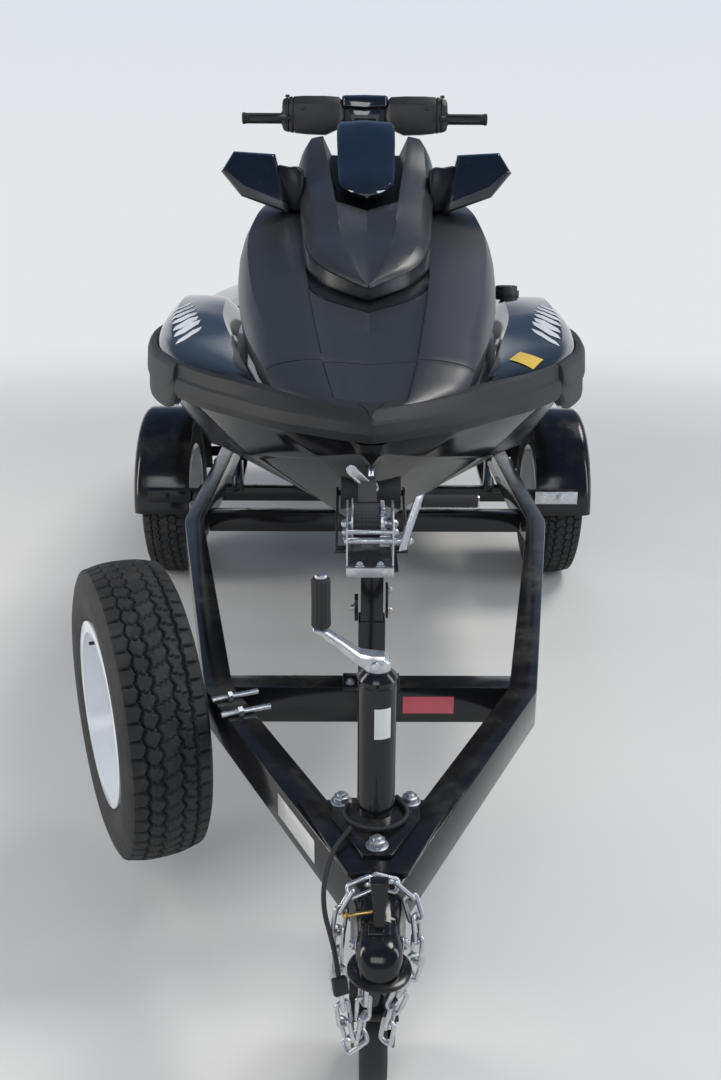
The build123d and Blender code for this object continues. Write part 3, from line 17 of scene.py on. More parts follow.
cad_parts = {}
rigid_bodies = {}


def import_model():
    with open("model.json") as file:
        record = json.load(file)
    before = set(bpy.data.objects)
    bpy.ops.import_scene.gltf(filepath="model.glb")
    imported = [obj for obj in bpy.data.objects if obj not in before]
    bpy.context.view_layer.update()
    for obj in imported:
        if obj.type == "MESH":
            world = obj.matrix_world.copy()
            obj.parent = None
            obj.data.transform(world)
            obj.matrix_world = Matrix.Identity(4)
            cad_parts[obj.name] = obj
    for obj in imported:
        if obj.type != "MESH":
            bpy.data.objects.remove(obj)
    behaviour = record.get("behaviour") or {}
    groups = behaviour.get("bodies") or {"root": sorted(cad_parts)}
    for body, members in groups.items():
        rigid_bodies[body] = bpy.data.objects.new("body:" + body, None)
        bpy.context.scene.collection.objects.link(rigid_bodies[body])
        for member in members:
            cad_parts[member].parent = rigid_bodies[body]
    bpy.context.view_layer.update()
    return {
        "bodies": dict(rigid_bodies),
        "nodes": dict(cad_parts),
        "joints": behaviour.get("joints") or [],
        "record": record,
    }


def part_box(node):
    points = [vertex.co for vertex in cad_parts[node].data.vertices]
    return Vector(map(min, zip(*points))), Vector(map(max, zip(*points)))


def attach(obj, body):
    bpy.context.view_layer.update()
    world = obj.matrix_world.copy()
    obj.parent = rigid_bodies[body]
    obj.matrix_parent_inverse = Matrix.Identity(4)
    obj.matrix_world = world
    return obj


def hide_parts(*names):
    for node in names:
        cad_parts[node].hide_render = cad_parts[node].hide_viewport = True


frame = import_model()
NODES = frame["nodes"]

# %% [markdown]
# The camera stands where the photographer stood: 1.36 m up, 3.25 m ahead of the origin and tilted 18.5
# degrees down. A portrait frame puts the sensor's 36 mm on its long side.

# %% Camera
CAMERA_AT = Vector((-0.035, -3.25, 1.36))
PITCH_DOWN, YAW, ROLL = math.radians(18.5), math.radians(0.46), math.radians(0.35)
LENS_MM, SENSOR_MM, SEES_TO = 35.0, 36.0, 60.0


def add_camera():
    forward = Vector((math.sin(YAW) * math.cos(PITCH_DOWN), math.cos(YAW) * math.cos(PITCH_DOWN),
                      -math.sin(PITCH_DOWN)))
    level = Vector((math.cos(YAW), -math.sin(YAW), 0.0))
    upright = level.cross(forward)
    right = level * math.cos(ROLL) + upright * math.sin(ROLL)
    up = upright * math.cos(ROLL) - level * math.sin(ROLL)
    data = bpy.data.cameras.new("photo_camera")
    data.lens = LENS_MM
    data.sensor_width = SENSOR_MM
    data.clip_end = SEES_TO
    camera = bpy.data.objects.new("photo_camera", data)
    bpy.context.scene.collection.objects.link(camera)
    camera.matrix_world = Matrix.Translation(CAMERA_AT) @ Matrix((right, up, -forward)).transposed().to_4x4()
    bpy.context.scene.camera = camera


add_camera()
print("camera at", tuple(CAMERA_AT))

# %% [markdown]
# Shader maths reads best as plain expressions. The class Wire wraps a node's output and overloads the
# operators, so that 1 - mask adds a Math node. Two operations that most finishes need have a name of their
# own: a smooth step from 0 to 1, and a sine wave for ribs and weaves.

# %% Shader maths as expressions


class Wire:
    """A node's output that can be used in Python expressions."""

    def __init__(self, finish, socket):
        self.finish = finish
        self.socket = socket

    def maths(self, operation, other, swapped=False):
        pair = (other, self) if swapped else (self, other)
        return self.finish.node("ShaderNodeMath", {"operation": operation}, dict(enumerate(pair)))

    def __add__(self, other):
        return self.maths("ADD", other)

    def __radd__(self, other):
        return self.maths("ADD", other)

    def __sub__(self, other):
        return self.maths("SUBTRACT", other)

    def __rsub__(self, other):
        return self.maths("SUBTRACT", other, swapped=True)

    def __mul__(self, other):
        return self.maths("MULTIPLY", other)

    def __rmul__(self, other):
        return self.maths("MULTIPLY", other)

    def step(self, low, high):
        """0 below low, 1 above high and smooth between them."""
        settings = {"interpolation_type": "SMOOTHSTEP"}
        return self.finish.node("ShaderNodeMapRange", settings, {0: self, 1: low, 2: high, 3: 0.0, 4: 1.0})

    def wave(self):
        return self.finish.node("ShaderNodeMath", {"operation": "SINE"}, {0: self})


print("shader maths ready")

# %% [markdown]
# Finish holds one material. Its node method takes a node's type, its settings and its inputs, and every recipe
# below is built from it. The sky is a node tree too, so the same class can stand for the world.

# %% One material and its nodes


class Finish:
    """One material, or the world, and the node tree that makes it."""

    def __init__(self, name, world=False):
        self.owner = (bpy.data.worlds if world else bpy.data.materials).new(name)
        self.owner.use_nodes = True
        self.tree = self.owner.node_tree
        self.shader = self.tree.nodes["Background" if world else "Principled BSDF"]
        self.shown = self.tree.nodes["World Output" if world else "Material Output"].inputs[0]
        self.place = self.node("ShaderNodeTexCoord", output="Generated" if world else "Object")

    def node(self, kind, settings=None, inputs=None, output=0):
        made = self.tree.nodes.new(kind)
        for key, value in (settings or {}).items():
            if key == "stops":
                self.set_stops(made.color_ramp, value)
            else:
                setattr(made, key, value)
        for key, value in (inputs or {}).items():
            self.feed(made.inputs[key], value)
        return Wire(self, made.outputs[output])

    @staticmethod
    def set_stops(ramp, stops):
        while len(ramp.elements) < len(stops):
            ramp.elements.new(0.5)
        for element, (position, colour) in zip(ramp.elements, stops):
            element.position = position
            element.color = (*colour, 1.0)

    def feed(self, socket, value):
        if isinstance(value, Wire):
            self.tree.links.new(value.socket, socket)
        elif isinstance(value, tuple) and len(value) == 3 and socket.type == "RGBA":
            socket.default_value = (*value, 1.0)
        else:
            socket.default_value = value

    def noise(self, scale, detail=3.0, rough=0.55, stretch=(1.0, 1.0, 1.0)):
        """Even noise from 0 to 1, with scale in cells per metre."""
        place = self.node("ShaderNodeMapping", None, {"Vector": self.place, "Scale": stretch})
        return self.node("ShaderNodeTexNoise", None,
                         {"Vector": place, "Scale": scale, "Detail": detail, "Roughness": rough})

    def cells(self, scale, feature="F1", output=0):
        """Irregular cells, with scale in cells per metre."""
        inputs = {"Vector": self.place, "Scale": scale}
        return self.node("ShaderNodeTexVoronoi", {"feature": feature}, inputs, output)

    def axis(self, name):
        return self.node("ShaderNodeSeparateXYZ", None, {0: self.place}, output=name)

    def upward(self):
        """1 where the surface faces up, 0 where it is upright or faces down."""
        normal = self.node("ShaderNodeNewGeometry", output="Normal")
        return self.node("ShaderNodeSeparateXYZ", None, {0: normal}, output="Z").step(0.2, 0.95)

    def mix(self, share, first, second):
        return self.node("ShaderNodeMix", {"data_type": "RGBA"}, {0: share, 6: first, 7: second}, output=2)

    def bump(self, height, distance, strength):
        return self.node("ShaderNodeBump", None, {"Height": height, "Distance": distance, "Strength": strength})

    def surface(self, **sockets):
        """Sets the shader's sockets, named in lower case, and returns the material."""
        for key, value in sockets.items():
            self.feed(self.shader.inputs[key.replace("_", " ").title().replace("Ior", "IOR")], value)
        return self.owner


def dress(thing, material):
    """Gives a piece or a CAD node its one material."""
    if thing.material_slots:
        for held in thing.material_slots:
            held.material = material
    else:
        thing.data.materials.append(material)


print("material helpers ready")

# %% [markdown]
# The stage is a plain pale floor under a soft sky. The sky is one vertical gradient: bright at the horizon
# and bluer overhead, and what the camera and the gloss see of it is the same. Large soft lamps on both
# sides draw long highlights along the dark panels, which otherwise have nothing to show their form by.

# %% Stage and lights
FLOOR_HALF = 24.0
FLOOR_COLOUR = (0.66, 0.65, 0.63)
FLOOR_FADE = (2.6, 7.0)
HORIZON = (0.78, 0.80, 0.82)
SKY_STOPS = ((0.0, HORIZON), (0.15, (0.74, 0.78, 0.83)), (0.26, (0.13, 0.19, 0.29)), (0.75, (0.05, 0.10, 0.20)))
SKY_LIGHT, SKY_STRENGTH = (0.72, 0.84, 1.0), 0.5


def pale_floor():
    bpy.ops.object.select_all(action="DESELECT")
    bpy.ops.mesh.primitive_plane_add(size=2 * FLOOR_HALF)
    floor = bpy.context.object
    floor.name = "floor"
    finish = Finish("pale_floor")
    tone = finish.noise(1.5, 5.0, 0.6) * 0.08 + finish.noise(260.0, 2.0) * 0.05 + 0.94
    colour = finish.node("ShaderNodeVectorMath", {"operation": "SCALE"}, {0: FLOOR_COLOUR, "Scale": tone})
    finish.surface(base_color=colour, roughness=0.85)
    away = finish.node("ShaderNodeVectorMath", {"operation": "LENGTH"}, {0: finish.place}, output="Value")
    seen, mirrored = [finish.node("ShaderNodeLightPath", output=ray) for ray in ("Is Camera Ray", "Is Glossy Ray")]
    far = away.step(*FLOOR_FADE) * (seen + mirrored).step(0.0, 1.0)
    glow = finish.node("ShaderNodeEmission", None, {"Color": HORIZON, "Strength": 1.0})
    faded = finish.node("ShaderNodeMixShader", None, {0: far, 1: Wire(finish, finish.shader.outputs[0]), 2: glow})
    finish.feed(finish.shown, faded)
    dress(floor, finish.owner)


def sky():
    """A plain light, and for what is seen of it a gradient from the horizon up."""
    world = Finish("soft_sky", world=True)
    bpy.context.scene.world = world.owner
    world.feed(world.shader.inputs["Color"], SKY_LIGHT)
    world.feed(world.shader.inputs["Strength"], SKY_STRENGTH)
    height = world.node("ShaderNodeSeparateXYZ", None, {0: world.place}, output="Z")
    gradient = world.node("ShaderNodeValToRGB", {"stops": SKY_STOPS}, {0: height})
    seen = world.node("ShaderNodeBackground", None, {"Color": gradient, "Strength": 1.0})
    rays = [world.node("ShaderNodeLightPath", output=ray)
            for ray in ("Is Glossy Ray", "Is Camera Ray", "Is Transmission Ray")]
    looked_at = rays[0].maths("MAXIMUM", rays[1].maths("MAXIMUM", rays[2]))
    mixed = world.node("ShaderNodeMixShader", None, {0: looked_at, 1: Wire(world, world.shader.outputs[0]), 2: seen})
    world.feed(world.shown, mixed)


def soft_lamp(name, place, target, size, watts, colour):
    data = bpy.data.lights.new(name, "AREA")
    data.shape = "RECTANGLE"
    data.size, data.size_y = size
    data.energy = watts
    data.color = colour
    lamp = bpy.data.objects.new(name, data)
    lamp.location = place
    lamp.rotation_euler = (Vector(target) - Vector(place)).to_track_quat("-Z", "Y").to_euler()
    bpy.context.scene.collection.objects.link(lamp)


def soft_sun(place, strength, spread, colour):
    data = bpy.data.lights.new("soft_sun", "SUN")
    data.energy = strength
    data.angle = math.radians(spread)
    data.color = colour
    lamp = bpy.data.objects.new("soft_sun", data)
    lamp.rotation_euler = Vector(place).to_track_quat("Z", "Y").to_euler()
    bpy.context.scene.collection.objects.link(lamp)


pale_floor()
sky()
soft_sun((1.4, 0.9, 2.6), 1.5, 22, (1.0, 0.96, 0.9))
soft_lamp("left_strip", (-4.2, -1.2, 2.2), (0.0, -0.4, 0.9), (0.9, 3.2), 90, (1.0, 0.93, 0.84))
soft_lamp("right_strip", (4.2, -1.6, 2.4), (0.0, -0.4, 0.9), (0.9, 3.2), 70, (0.86, 0.93, 1.0))
soft_lamp("front_fill", (-0.6, -5.6, 3.6), (0.0, -0.6, 0.7), (2.4, 1.6), 45, (1.0, 1.0, 1.0))
bpy.context.scene.view_settings.view_transform = "Standard"
print("stage, sun and three lamps")

# %% [markdown]
# Finishes. The craft is dark on dark: what tells its pieces apart is gloss, grain and a few degrees of
# colour. The deck's gelcoat is a deep black under a thin clear coat, the hull's is duller, panels are a satin
# metallic grey, the bumper is a matte black with pebble grain, and moulded trim is black with a finer grain.

# %% Paint and gelcoat of the craft


def gelcoat():
    finish = Finish("black_gelcoat")
    dust = finish.noise(9.0, 6.0, 0.6).step(0.45, 0.85) * finish.upward()
    colour = finish.mix(dust * 0.06, (0.006, 0.007, 0.010), (0.20, 0.18, 0.16))
    ripple = finish.noise(14.0, 1.0)
    return finish.surface(base_color=colour, roughness=dust * 0.10 + 0.06, specular_ior_level=0.4,
                          coat_weight=0.15, coat_roughness=0.03, normal=finish.bump(ripple, 0.0006, 0.25))


def satin_panel():
    finish = Finish("satin_grey_panel")
    flake = finish.cells(2600.0)
    grain = finish.noise(900.0, 2.0)
    film = finish.noise(5.0, 5.0, 0.6)
    colour = finish.mix(flake * 0.5 + film * 0.3, (0.034, 0.035, 0.038), (0.056, 0.057, 0.060))
    return finish.surface(base_color=colour, metallic=0.35, roughness=film * 0.08 + 0.34,
                          coat_weight=0.15, coat_roughness=0.35, normal=finish.bump(grain, 0.00012, 0.5))


def gloss_trim():
    finish = Finish("gloss_black_trim")
    dust = finish.noise(30.0, 4.0).step(0.55, 0.8)
    colour = finish.mix(dust * 0.05, (0.006, 0.008, 0.014), (0.18, 0.17, 0.16))
    return finish.surface(base_color=colour, roughness=dust * 0.08 + 0.09, coat_weight=0.8, coat_roughness=0.05)


def satin_black():
    finish = Finish("satin_black")
    grain = finish.noise(1200.0, 2.0)
    streak = finish.noise(20.0, 5.0, 0.6, (3.0, 1.0, 0.5)).step(0.5, 0.85)
    colour = finish.mix(streak * 0.3 + grain * 0.1, (0.012, 0.013, 0.016), (0.040, 0.040, 0.042))
    return finish.surface(base_color=colour, roughness=streak * 0.1 + 0.28, specular_ior_level=0.22,
                          normal=finish.bump(grain, 0.0001, 0.5))


def hull_gelcoat():
    """The hull's black gelcoat, duller than the deck's from launching and drying."""
    finish = Finish("hull_gelcoat")
    scum = finish.noise(6.0, 6.0, 0.65, (1.0, 0.4, 2.0)).step(0.45, 0.85)
    colour = finish.mix(scum * 0.25, (0.008, 0.008, 0.009), (0.055, 0.05, 0.042))
    return finish.surface(base_color=colour, roughness=scum * 0.18 + 0.14, specular_ior_level=0.18)


print("paint and gelcoat recipes ready")

# %% [markdown]
# The moulded and soft parts show a grain rather than a gloss: a fine one on black plastic, pebbles on the bumper,
# leather cells on the seats and ribs on the mats. Castings are rough, and bright steel is brushed.

# %% Moulded, soft and metal finishes of the craft


def moulded():
    finish = Finish("moulded_black")
    grain = finish.noise(1100.0, 3.0)
    dust = finish.noise(24.0, 5.0).step(0.5, 0.85) * finish.upward()
    colour = finish.mix(dust * 0.25 + grain * 0.2, (0.014, 0.014, 0.016), (0.085, 0.08, 0.075))
    return finish.surface(base_color=colour, roughness=grain * 0.15 + 0.42, normal=finish.bump(grain, 0.0003, 0.6))


def bumper_rubber():
    finish = Finish("bumper_rubber")
    pebble = finish.cells(650.0)
    scuff = finish.noise(16.0, 7.0, 0.7, (1.0, 1.0, 3.0)).step(0.55, 0.82)
    colour = finish.mix(scuff * 0.4 + pebble * 0.2, (0.016, 0.017, 0.019), (0.060, 0.060, 0.058))
    return finish.surface(base_color=colour, roughness=scuff * 0.12 + 0.55, specular_ior_level=0.3,
                          normal=finish.bump(pebble, 0.0004, 0.45))


def seat_vinyl():
    finish = Finish("seat_vinyl")
    leather = finish.cells(420.0, "DISTANCE_TO_EDGE").step(0.0, 0.12)
    fine = finish.noise(900.0, 2.0)
    colour = finish.mix(finish.noise(6.0, 4.0) * 0.5, (0.016, 0.016, 0.018), (0.040, 0.040, 0.043))
    height = leather * 0.7 + fine * 0.3
    return finish.surface(base_color=colour, roughness=leather * -0.12 + 0.58,
                          normal=finish.bump(height, 0.0004, 0.7))


def traction_mat():
    finish = Finish("traction_mat")
    ribs = (finish.axis("X") * 420.0).wave().step(-0.35, 0.35)
    grain = finish.noise(1400.0, 2.0)
    colour = finish.mix(ribs * 0.8 + grain * 0.2, (0.012, 0.012, 0.013), (0.045, 0.046, 0.050))
    return finish.surface(base_color=colour, roughness=0.85, normal=finish.bump(ribs, 0.002, 0.9))


def cast_alloy():
    finish = Finish("painted_cast_alloy")
    cast = finish.noise(340.0, 5.0, 0.65)
    stain = finish.noise(11.0, 6.0, 0.65).step(0.5, 0.8)
    colour = finish.mix(stain * 0.6, (0.17, 0.175, 0.18), (0.36, 0.35, 0.33))
    return finish.surface(base_color=colour, metallic=0.7, roughness=cast * 0.2 + 0.35,
                          normal=finish.bump(cast, 0.0006, 0.6))


def polished_steel(name, colour, rough):
    finish = Finish(name)
    brushed = finish.noise(60.0, 4.0, 0.6, (1.0, 1.0, 22.0))
    tint = finish.mix(brushed * 0.35, colour, tuple(v * 0.62 for v in colour))
    return finish.surface(base_color=tint, metallic=1.0, roughness=brushed * 0.14 + rough)


def grip_rubber():
    finish = Finish("black_rubber")
    grain = finish.noise(1300.0, 2.0)
    return finish.surface(base_color=finish.mix(grain, (0.010, 0.010, 0.011), (0.026, 0.026, 0.028)),
                          roughness=grain * 0.1 + 0.62, normal=finish.bump(grain, 0.0003, 0.6))


FINISHES = {
    "gloss_black_gelcoat": gelcoat(),
    "satin_grey_panel": satin_panel(),
    "gloss_visor": gloss_trim(),
    "dark_moulded": moulded(),
    "satin_black": satin_black(),
    "hull_gelcoat": hull_gelcoat(),
    "bumper_rubber": bumper_rubber(),
    "seat_vinyl": seat_vinyl(),
    "traction_mat": traction_mat(),
    "marine_aluminium": cast_alloy(),
    "engine_metal": cast_alloy(),
    "impeller_steel": polished_steel("impeller_steel", (0.62, 0.63, 0.65), 0.18),
    "stainless": polished_steel("stainless_rod", (0.66, 0.67, 0.69), 0.16),
    "grip_rubber": grip_rubber(),
}
print("craft finishes:", len(FINISHES))

# %% [markdown]
# The trailer's steel is thick gloss enamel with soft runs in it and road dust on its upper faces. Zinc plate
# has broad dull crystals. The tyres are black with patches of dust, and their rims are white enamel.

# %% Finishes of the trailer


def trailer_enamel():
    finish = Finish("trailer_enamel")
    dust = finish.noise(7.0, 7.0, 0.65).step(0.42, 0.85) * finish.upward()
    runs = finish.noise(45.0, 2.0)
    colour = finish.mix(dust * 0.22, (0.008, 0.008, 0.009), (0.24, 0.22, 0.19))
    return finish.surface(base_color=colour, roughness=dust * 0.3 + 0.16, specular_ior_level=0.35, coat_weight=0.15,
                          coat_roughness=0.12, normal=finish.bump(runs, 0.0008, 0.3))


def zinc_plate():
    finish = Finish("zinc_plate")
    crystal = finish.cells(150.0, output="Color")
    spangle = finish.node("ShaderNodeSeparateColor", None, {0: crystal}, output=0)
    stain = finish.noise(40.0, 6.0, 0.6).step(0.55, 0.8)
    colour = finish.mix(spangle * 0.4 + stain * 0.4, (0.60, 0.62, 0.64), (0.34, 0.35, 0.36))
    return finish.surface(base_color=colour, metallic=0.95, roughness=spangle * 0.16 + stain * 0.15 + 0.26)


def tyre_rubber():
    finish = Finish("tyre_rubber")
    grain = finish.noise(700.0, 3.0)
    dust = finish.noise(22.0, 6.0, 0.65).step(0.38, 0.8)
    colour = finish.mix(dust * 0.45, (0.011, 0.011, 0.012), (0.060, 0.057, 0.052))
    return finish.surface(base_color=colour, roughness=grain * 0.1 + 0.66, normal=finish.bump(grain, 0.0004, 0.5))


def white_enamel():
    finish = Finish("white_enamel")
    dirt = finish.noise(26.0, 6.0, 0.65).step(0.55, 0.85)
    colour = finish.mix(dirt * 0.35, (0.74, 0.77, 0.80), (0.42, 0.38, 0.33))
    return finish.surface(base_color=colour, roughness=dirt * 0.2 + 0.28, coat_weight=0.3, coat_roughness=0.1)


def carpet():
    finish = Finish("bunk_carpet")
    fibre = finish.noise(1500.0, 4.0, 0.7)
    tuft = finish.noise(260.0, 3.0)
    colour = finish.mix(fibre, (0.010, 0.010, 0.011), (0.060, 0.058, 0.060))
    return finish.surface(base_color=colour, roughness=0.95, normal=finish.bump(fibre * 0.5 + tuft, 0.003, 0.9))


def webbing():
    finish = Finish("strap_webbing")
    warp = (finish.axis("X") * 2600.0).wave().step(-0.6, 0.6)
    weft = (finish.axis("Y") * 2100.0).wave().step(-0.6, 0.6)
    weave = warp * 0.6 + weft * 0.4
    colour = finish.mix(weave, (0.012, 0.012, 0.014), (0.055, 0.055, 0.06))
    return finish.surface(base_color=colour, roughness=0.8, normal=finish.bump(weave, 0.0006, 0.8))


def red_lens():
    finish = Finish("red_lens")
    facets = finish.cells(240.0, "DISTANCE_TO_EDGE").step(0.0, 0.2)
    return finish.surface(base_color=finish.mix(facets, (0.20, 0.004, 0.004), (0.55, 0.02, 0.015)), roughness=0.12,
                          coat_weight=1.0, normal=finish.bump(facets, 0.0008, 0.5))


def silvered_glass():
    finish = Finish("silvered_glass")
    smear = finish.noise(14.0, 5.0).step(0.5, 0.85)
    return finish.surface(base_color=(0.86, 0.88, 0.89), metallic=1.0, roughness=smear * 0.05 + 0.02)


FINISHES.update({
    "trailer_paint": trailer_enamel(),
    "black_coated_steel": trailer_enamel(),
    "zinc_plate": zinc_plate(),
    "tyre_rubber": tyre_rubber(),
    "white_rim": white_enamel(),
    "bunk_carpet": carpet(),
    "winch_webbing": webbing(),
    "caster_rubber": grip_rubber(),
    "red_lens": red_lens(),
    "mirror_face": silvered_glass(),
})
SLOT_OF = {part["node"]: part["material_slot"] for part in frame["record"]["subparts"]}
for name, node in NODES.items():
    dress(node, FINISHES[SLOT_OF[name]])
print("finishes:", len(FINISHES), "nodes dressed:", len(NODES))

# %% [markdown]
# Operators act on what is selected, so every helper first selects its own piece and nothing else. A modifier is
# added and applied at once, and edit-mode steps run on the whole mesh.

# %% Helpers for editing
MM = 0.001


def pick(*pieces):
    """Selects these pieces alone and makes the first one active."""
    bpy.ops.object.select_all(action="DESELECT")
    for piece in pieces:
        piece.select_set(True)
    bpy.context.view_layer.objects.active = pieces[0]


def modify(piece, kind, **settings):
    """Adds one modifier and applies it."""
    pick(piece)
    modifier = piece.modifiers.new(kind, kind)
    for key, value in settings.items():
        setattr(modifier, key, value)
    bpy.ops.object.modifier_apply(modifier=modifier.name)


def in_edit(piece, *steps):
    """Runs edit-mode operators, each a function and its settings, on everything selected."""
    pick(piece)
    bpy.ops.object.mode_set(mode="EDIT")
    bpy.ops.mesh.select_all(action="SELECT")
    for operator, settings in steps:
        operator(**settings)
    bpy.ops.object.mode_set(mode="OBJECT")


def close_up(piece, gap=0.05):
    """Merges doubled vertices and turns the faces outwards."""
    in_edit(piece, (bpy.ops.mesh.remove_doubles, {"threshold": gap * MM}),
            (bpy.ops.mesh.normals_make_consistent, {"inside": False}))


def smooth(piece, angle=35):
    pick(piece)
    bpy.ops.object.shade_smooth_by_angle(angle=math.radians(angle))
    return piece


def round_edges(piece, width, segments=2, angle=30):
    """Rounds the edges that are sharper than the angle; width is in millimetres."""
    modify(piece, "BEVEL", width=width * MM, segments=segments, limit_method="ANGLE",
           angle_limit=math.radians(angle), use_clamp_overlap=True)
    return smooth(piece, 40)


print("editing helpers ready")

# %% [markdown]
# A finished piece has its place in its mesh, one finish and one body that it rides on. One helper sees to all three,
# taking the finish by the piece's slot unless one is given, and hides the CAD nodes the piece stands for.

# %% Naming, finish and body of a piece
BODY_OF = {node: body for body, nodes in frame["record"]["behaviour"]["bodies"].items() for node in nodes}


def adopt(piece, name, slot, body, stands_for=(), finish=None):
    """Names a finished piece, gives it its finish and its body, and hides the nodes it stands for."""
    piece.name = piece.data.name = name
    pick(piece)
    bpy.ops.object.transform_apply(location=True, rotation=True, scale=True)
    piece.data.materials.clear()
    dress(piece, finish or FINISHES[slot])
    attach(piece, body)
    if stands_for:
        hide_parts(*stands_for)
    return piece


print("bodies:", len(set(BODY_OF.values())))

# %% [markdown]
# Most panels of the craft are large skins that a table of stations describes: at each place along the craft,
# the points across it from the lower edge to the centre line. A grid primitive has just such rows of
# vertices, so a skin is a grid whose vertices are put in place. Between the stations each value follows a
# smooth curve, and across a panel a small crown keeps it from looking like folded card.

# %% Helpers for skins


def smooth_rows(rows, per_span):
    """More rows between the given ones; every value follows a cubic whose slopes never overshoot."""
    knots = [0.0]
    for a, b in zip(rows, rows[1:]):
        knots.append(knots[-1] + math.dist(a[:2], b[:2]))
    slopes = []
    for i in range(len(rows)):
        before = [(b - a) / (knots[i] - knots[i - 1]) for a, b in zip(rows[i - 1], rows[i])] if i else None
        after = None
        if i + 1 < len(rows):
            after = [(b - a) / (knots[i + 1] - knots[i]) for a, b in zip(rows[i], rows[i + 1])]
        if before is None or after is None:
            slopes.append(after or before)
        else:
            slopes.append([2 * p * q / (p + q) if p * q > 0 else 0.0 for p, q in zip(before, after)])
    made = []
    for i, (a, b) in enumerate(zip(rows, rows[1:])):
        span = knots[i + 1] - knots[i]
        for step in range(per_span):
            t = step / per_span
            made.append([
                (2 * t**3 - 3 * t**2 + 1) * p + (t**3 - 2 * t**2 + t) * span * m
                + (3 * t**2 - 2 * t**3) * q + (t**3 - t**2) * span * n
                for p, q, m, n in zip(a, b, slopes[i], slopes[i + 1])])
    return made + [list(rows[-1])]


def crowned(points, crowns, steps):
    """Divides each side of a 2-D line into steps and lifts its middle by a share of its length."""
    line = []
    for (x0, z0), (x1, z1), crown in zip(points, points[1:], crowns):
        for step in range(steps):
            t = step / steps
            lift = crown * 4 * t * (1 - t)
            line.append((x0 + (x1 - x0) * t + (z1 - z0) * lift, z0 + (z1 - z0) * t - (x1 - x0) * lift))
    return line + [tuple(points[-1])]


def grid_skin(name, rows):
    """A sheet through rows of points in millimetres, on the vertices of a grid primitive."""
    bpy.ops.object.select_all(action="DESELECT")
    bpy.ops.mesh.primitive_grid_add(x_subdivisions=len(rows[0]) - 1, y_subdivisions=len(rows) - 1, size=1.0)
    sheet = bpy.context.object
    sheet.name = name
    for vertex, point in zip(sheet.data.vertices, [point for row in rows for point in row]):
        vertex.co = [value * MM for value in point]
    return sheet


def both_sides(half):
    """A half section and its mirror image as one line, port edge first."""
    return list(half) + [(-x, z) for x, z in half[::-1] if x > 1e-6]


def across_rows(table, crowns):
    """Rows of points across the craft from a table: y, then x and z from the lower edge to the centre line."""
    rows = []
    for y, *values in smooth_rows(table, 5):
        half = list(zip(values[0:-1:2], values[1:-1:2])) + [(0.0, values[-1])]
        rows.append([(x, y, z) for x, z in both_sides(crowned(half, crowns, 3))])
    return rows


def walled(sheet, thickness):
    """Turns a sheet's faces up and gives it a wall below them, in millimetres."""
    if sum(face.normal.z * face.area for face in sheet.data.polygons) < 0:
        in_edit(sheet, (bpy.ops.mesh.flip_normals, {}))
    modify(sheet, "SOLIDIFY", thickness=thickness * MM, offset=-1.0)
    return sheet


def panel(name, table, crowns, edge):
    """A thin skin through a station table, with rounded edges."""
    sheet = grid_skin(name, across_rows(table, crowns))
    return round_edges(walled(sheet, 4.0), edge, 3, 14)


print("skin helpers ready")

# %% [markdown]
# Small parts start from rings of points or from a primitive. A ring solid is a grid closed along one side whose
# ends are filled, a rod is a curve with a round bevel that is made a mesh, and a block and a drum are a cube and
# a cylinder at their real place and size.

# %% Helpers for solids


def ring_solid(name, rings):
    """A closed solid through rings of points, with its ends filled."""
    solid = grid_skin(name, [list(ring) + [ring[0]] for ring in rings])
    close_up(solid)
    in_edit(solid, (bpy.ops.mesh.fill_holes, {"sides": 0}),
            (bpy.ops.mesh.normals_make_consistent, {"inside": False}))
    return solid


def tube(name, points, radius, closed=False, sides=10):
    """A round rod along smooth control points, in millimetres."""
    curve = bpy.data.curves.new(name, "CURVE")
    curve.dimensions = "3D"
    curve.bevel_depth = radius * MM
    curve.bevel_resolution = max(1, sides // 4 - 1)
    curve.use_fill_caps = not closed
    spline = curve.splines.new("NURBS")
    spline.points.add(len(points) - 1)
    for control, point in zip(spline.points, points):
        control.co = (*[value * MM for value in point], 1.0)
    spline.order_u = 3
    spline.use_cyclic_u = closed
    spline.use_endpoint_u = not closed
    rod = bpy.data.objects.new(name, curve)
    bpy.context.scene.collection.objects.link(rod)
    pick(rod)
    bpy.ops.object.convert(target="MESH")
    return smooth(bpy.context.object, 50)


def block(name, x, y, z):
    """A box between bounds in millimetres."""
    bpy.ops.object.select_all(action="DESELECT")
    centre = [(low + high) / 2 * MM for low, high in (x, y, z)]
    bpy.ops.mesh.primitive_cube_add(size=1.0, location=centre,
                                    scale=[(high - low) * MM for low, high in (x, y, z)])
    pick(bpy.context.object)
    bpy.ops.object.transform_apply(location=True, rotation=True, scale=True)
    return bpy.context.object


def drum(name, centre, axis, radius, depth, sides=32):
    """A short cylinder with its middle at centre, in millimetres."""
    bpy.ops.object.select_all(action="DESELECT")
    bpy.ops.mesh.primitive_cylinder_add(
        vertices=sides, radius=radius * MM, depth=depth * MM, location=[value * MM for value in centre],
        rotation=Vector(axis).to_track_quat("Z", "Y").to_euler())
    pick(bpy.context.object)
    bpy.ops.object.transform_apply(location=True, rotation=True, scale=True)
    return bpy.context.object


print("solid helpers ready")

# %% [markdown]
# What repeats is modelled once. A copy has its own mesh, and a mirrored one has its faces turned back outwards.

# %% Joining and copying


def joined(pieces):
    """Several meshes as one."""
    pick(*pieces)
    if len(pieces) > 1:
        bpy.ops.object.join()
    return bpy.context.object


def copied(piece, turn):
    """A copy of a piece with its own mesh, moved by a matrix."""
    other = bpy.data.objects.new(piece.name + "_copy", piece.data.copy())
    bpy.context.scene.collection.objects.link(other)
    other.data.transform(turn)
    return other


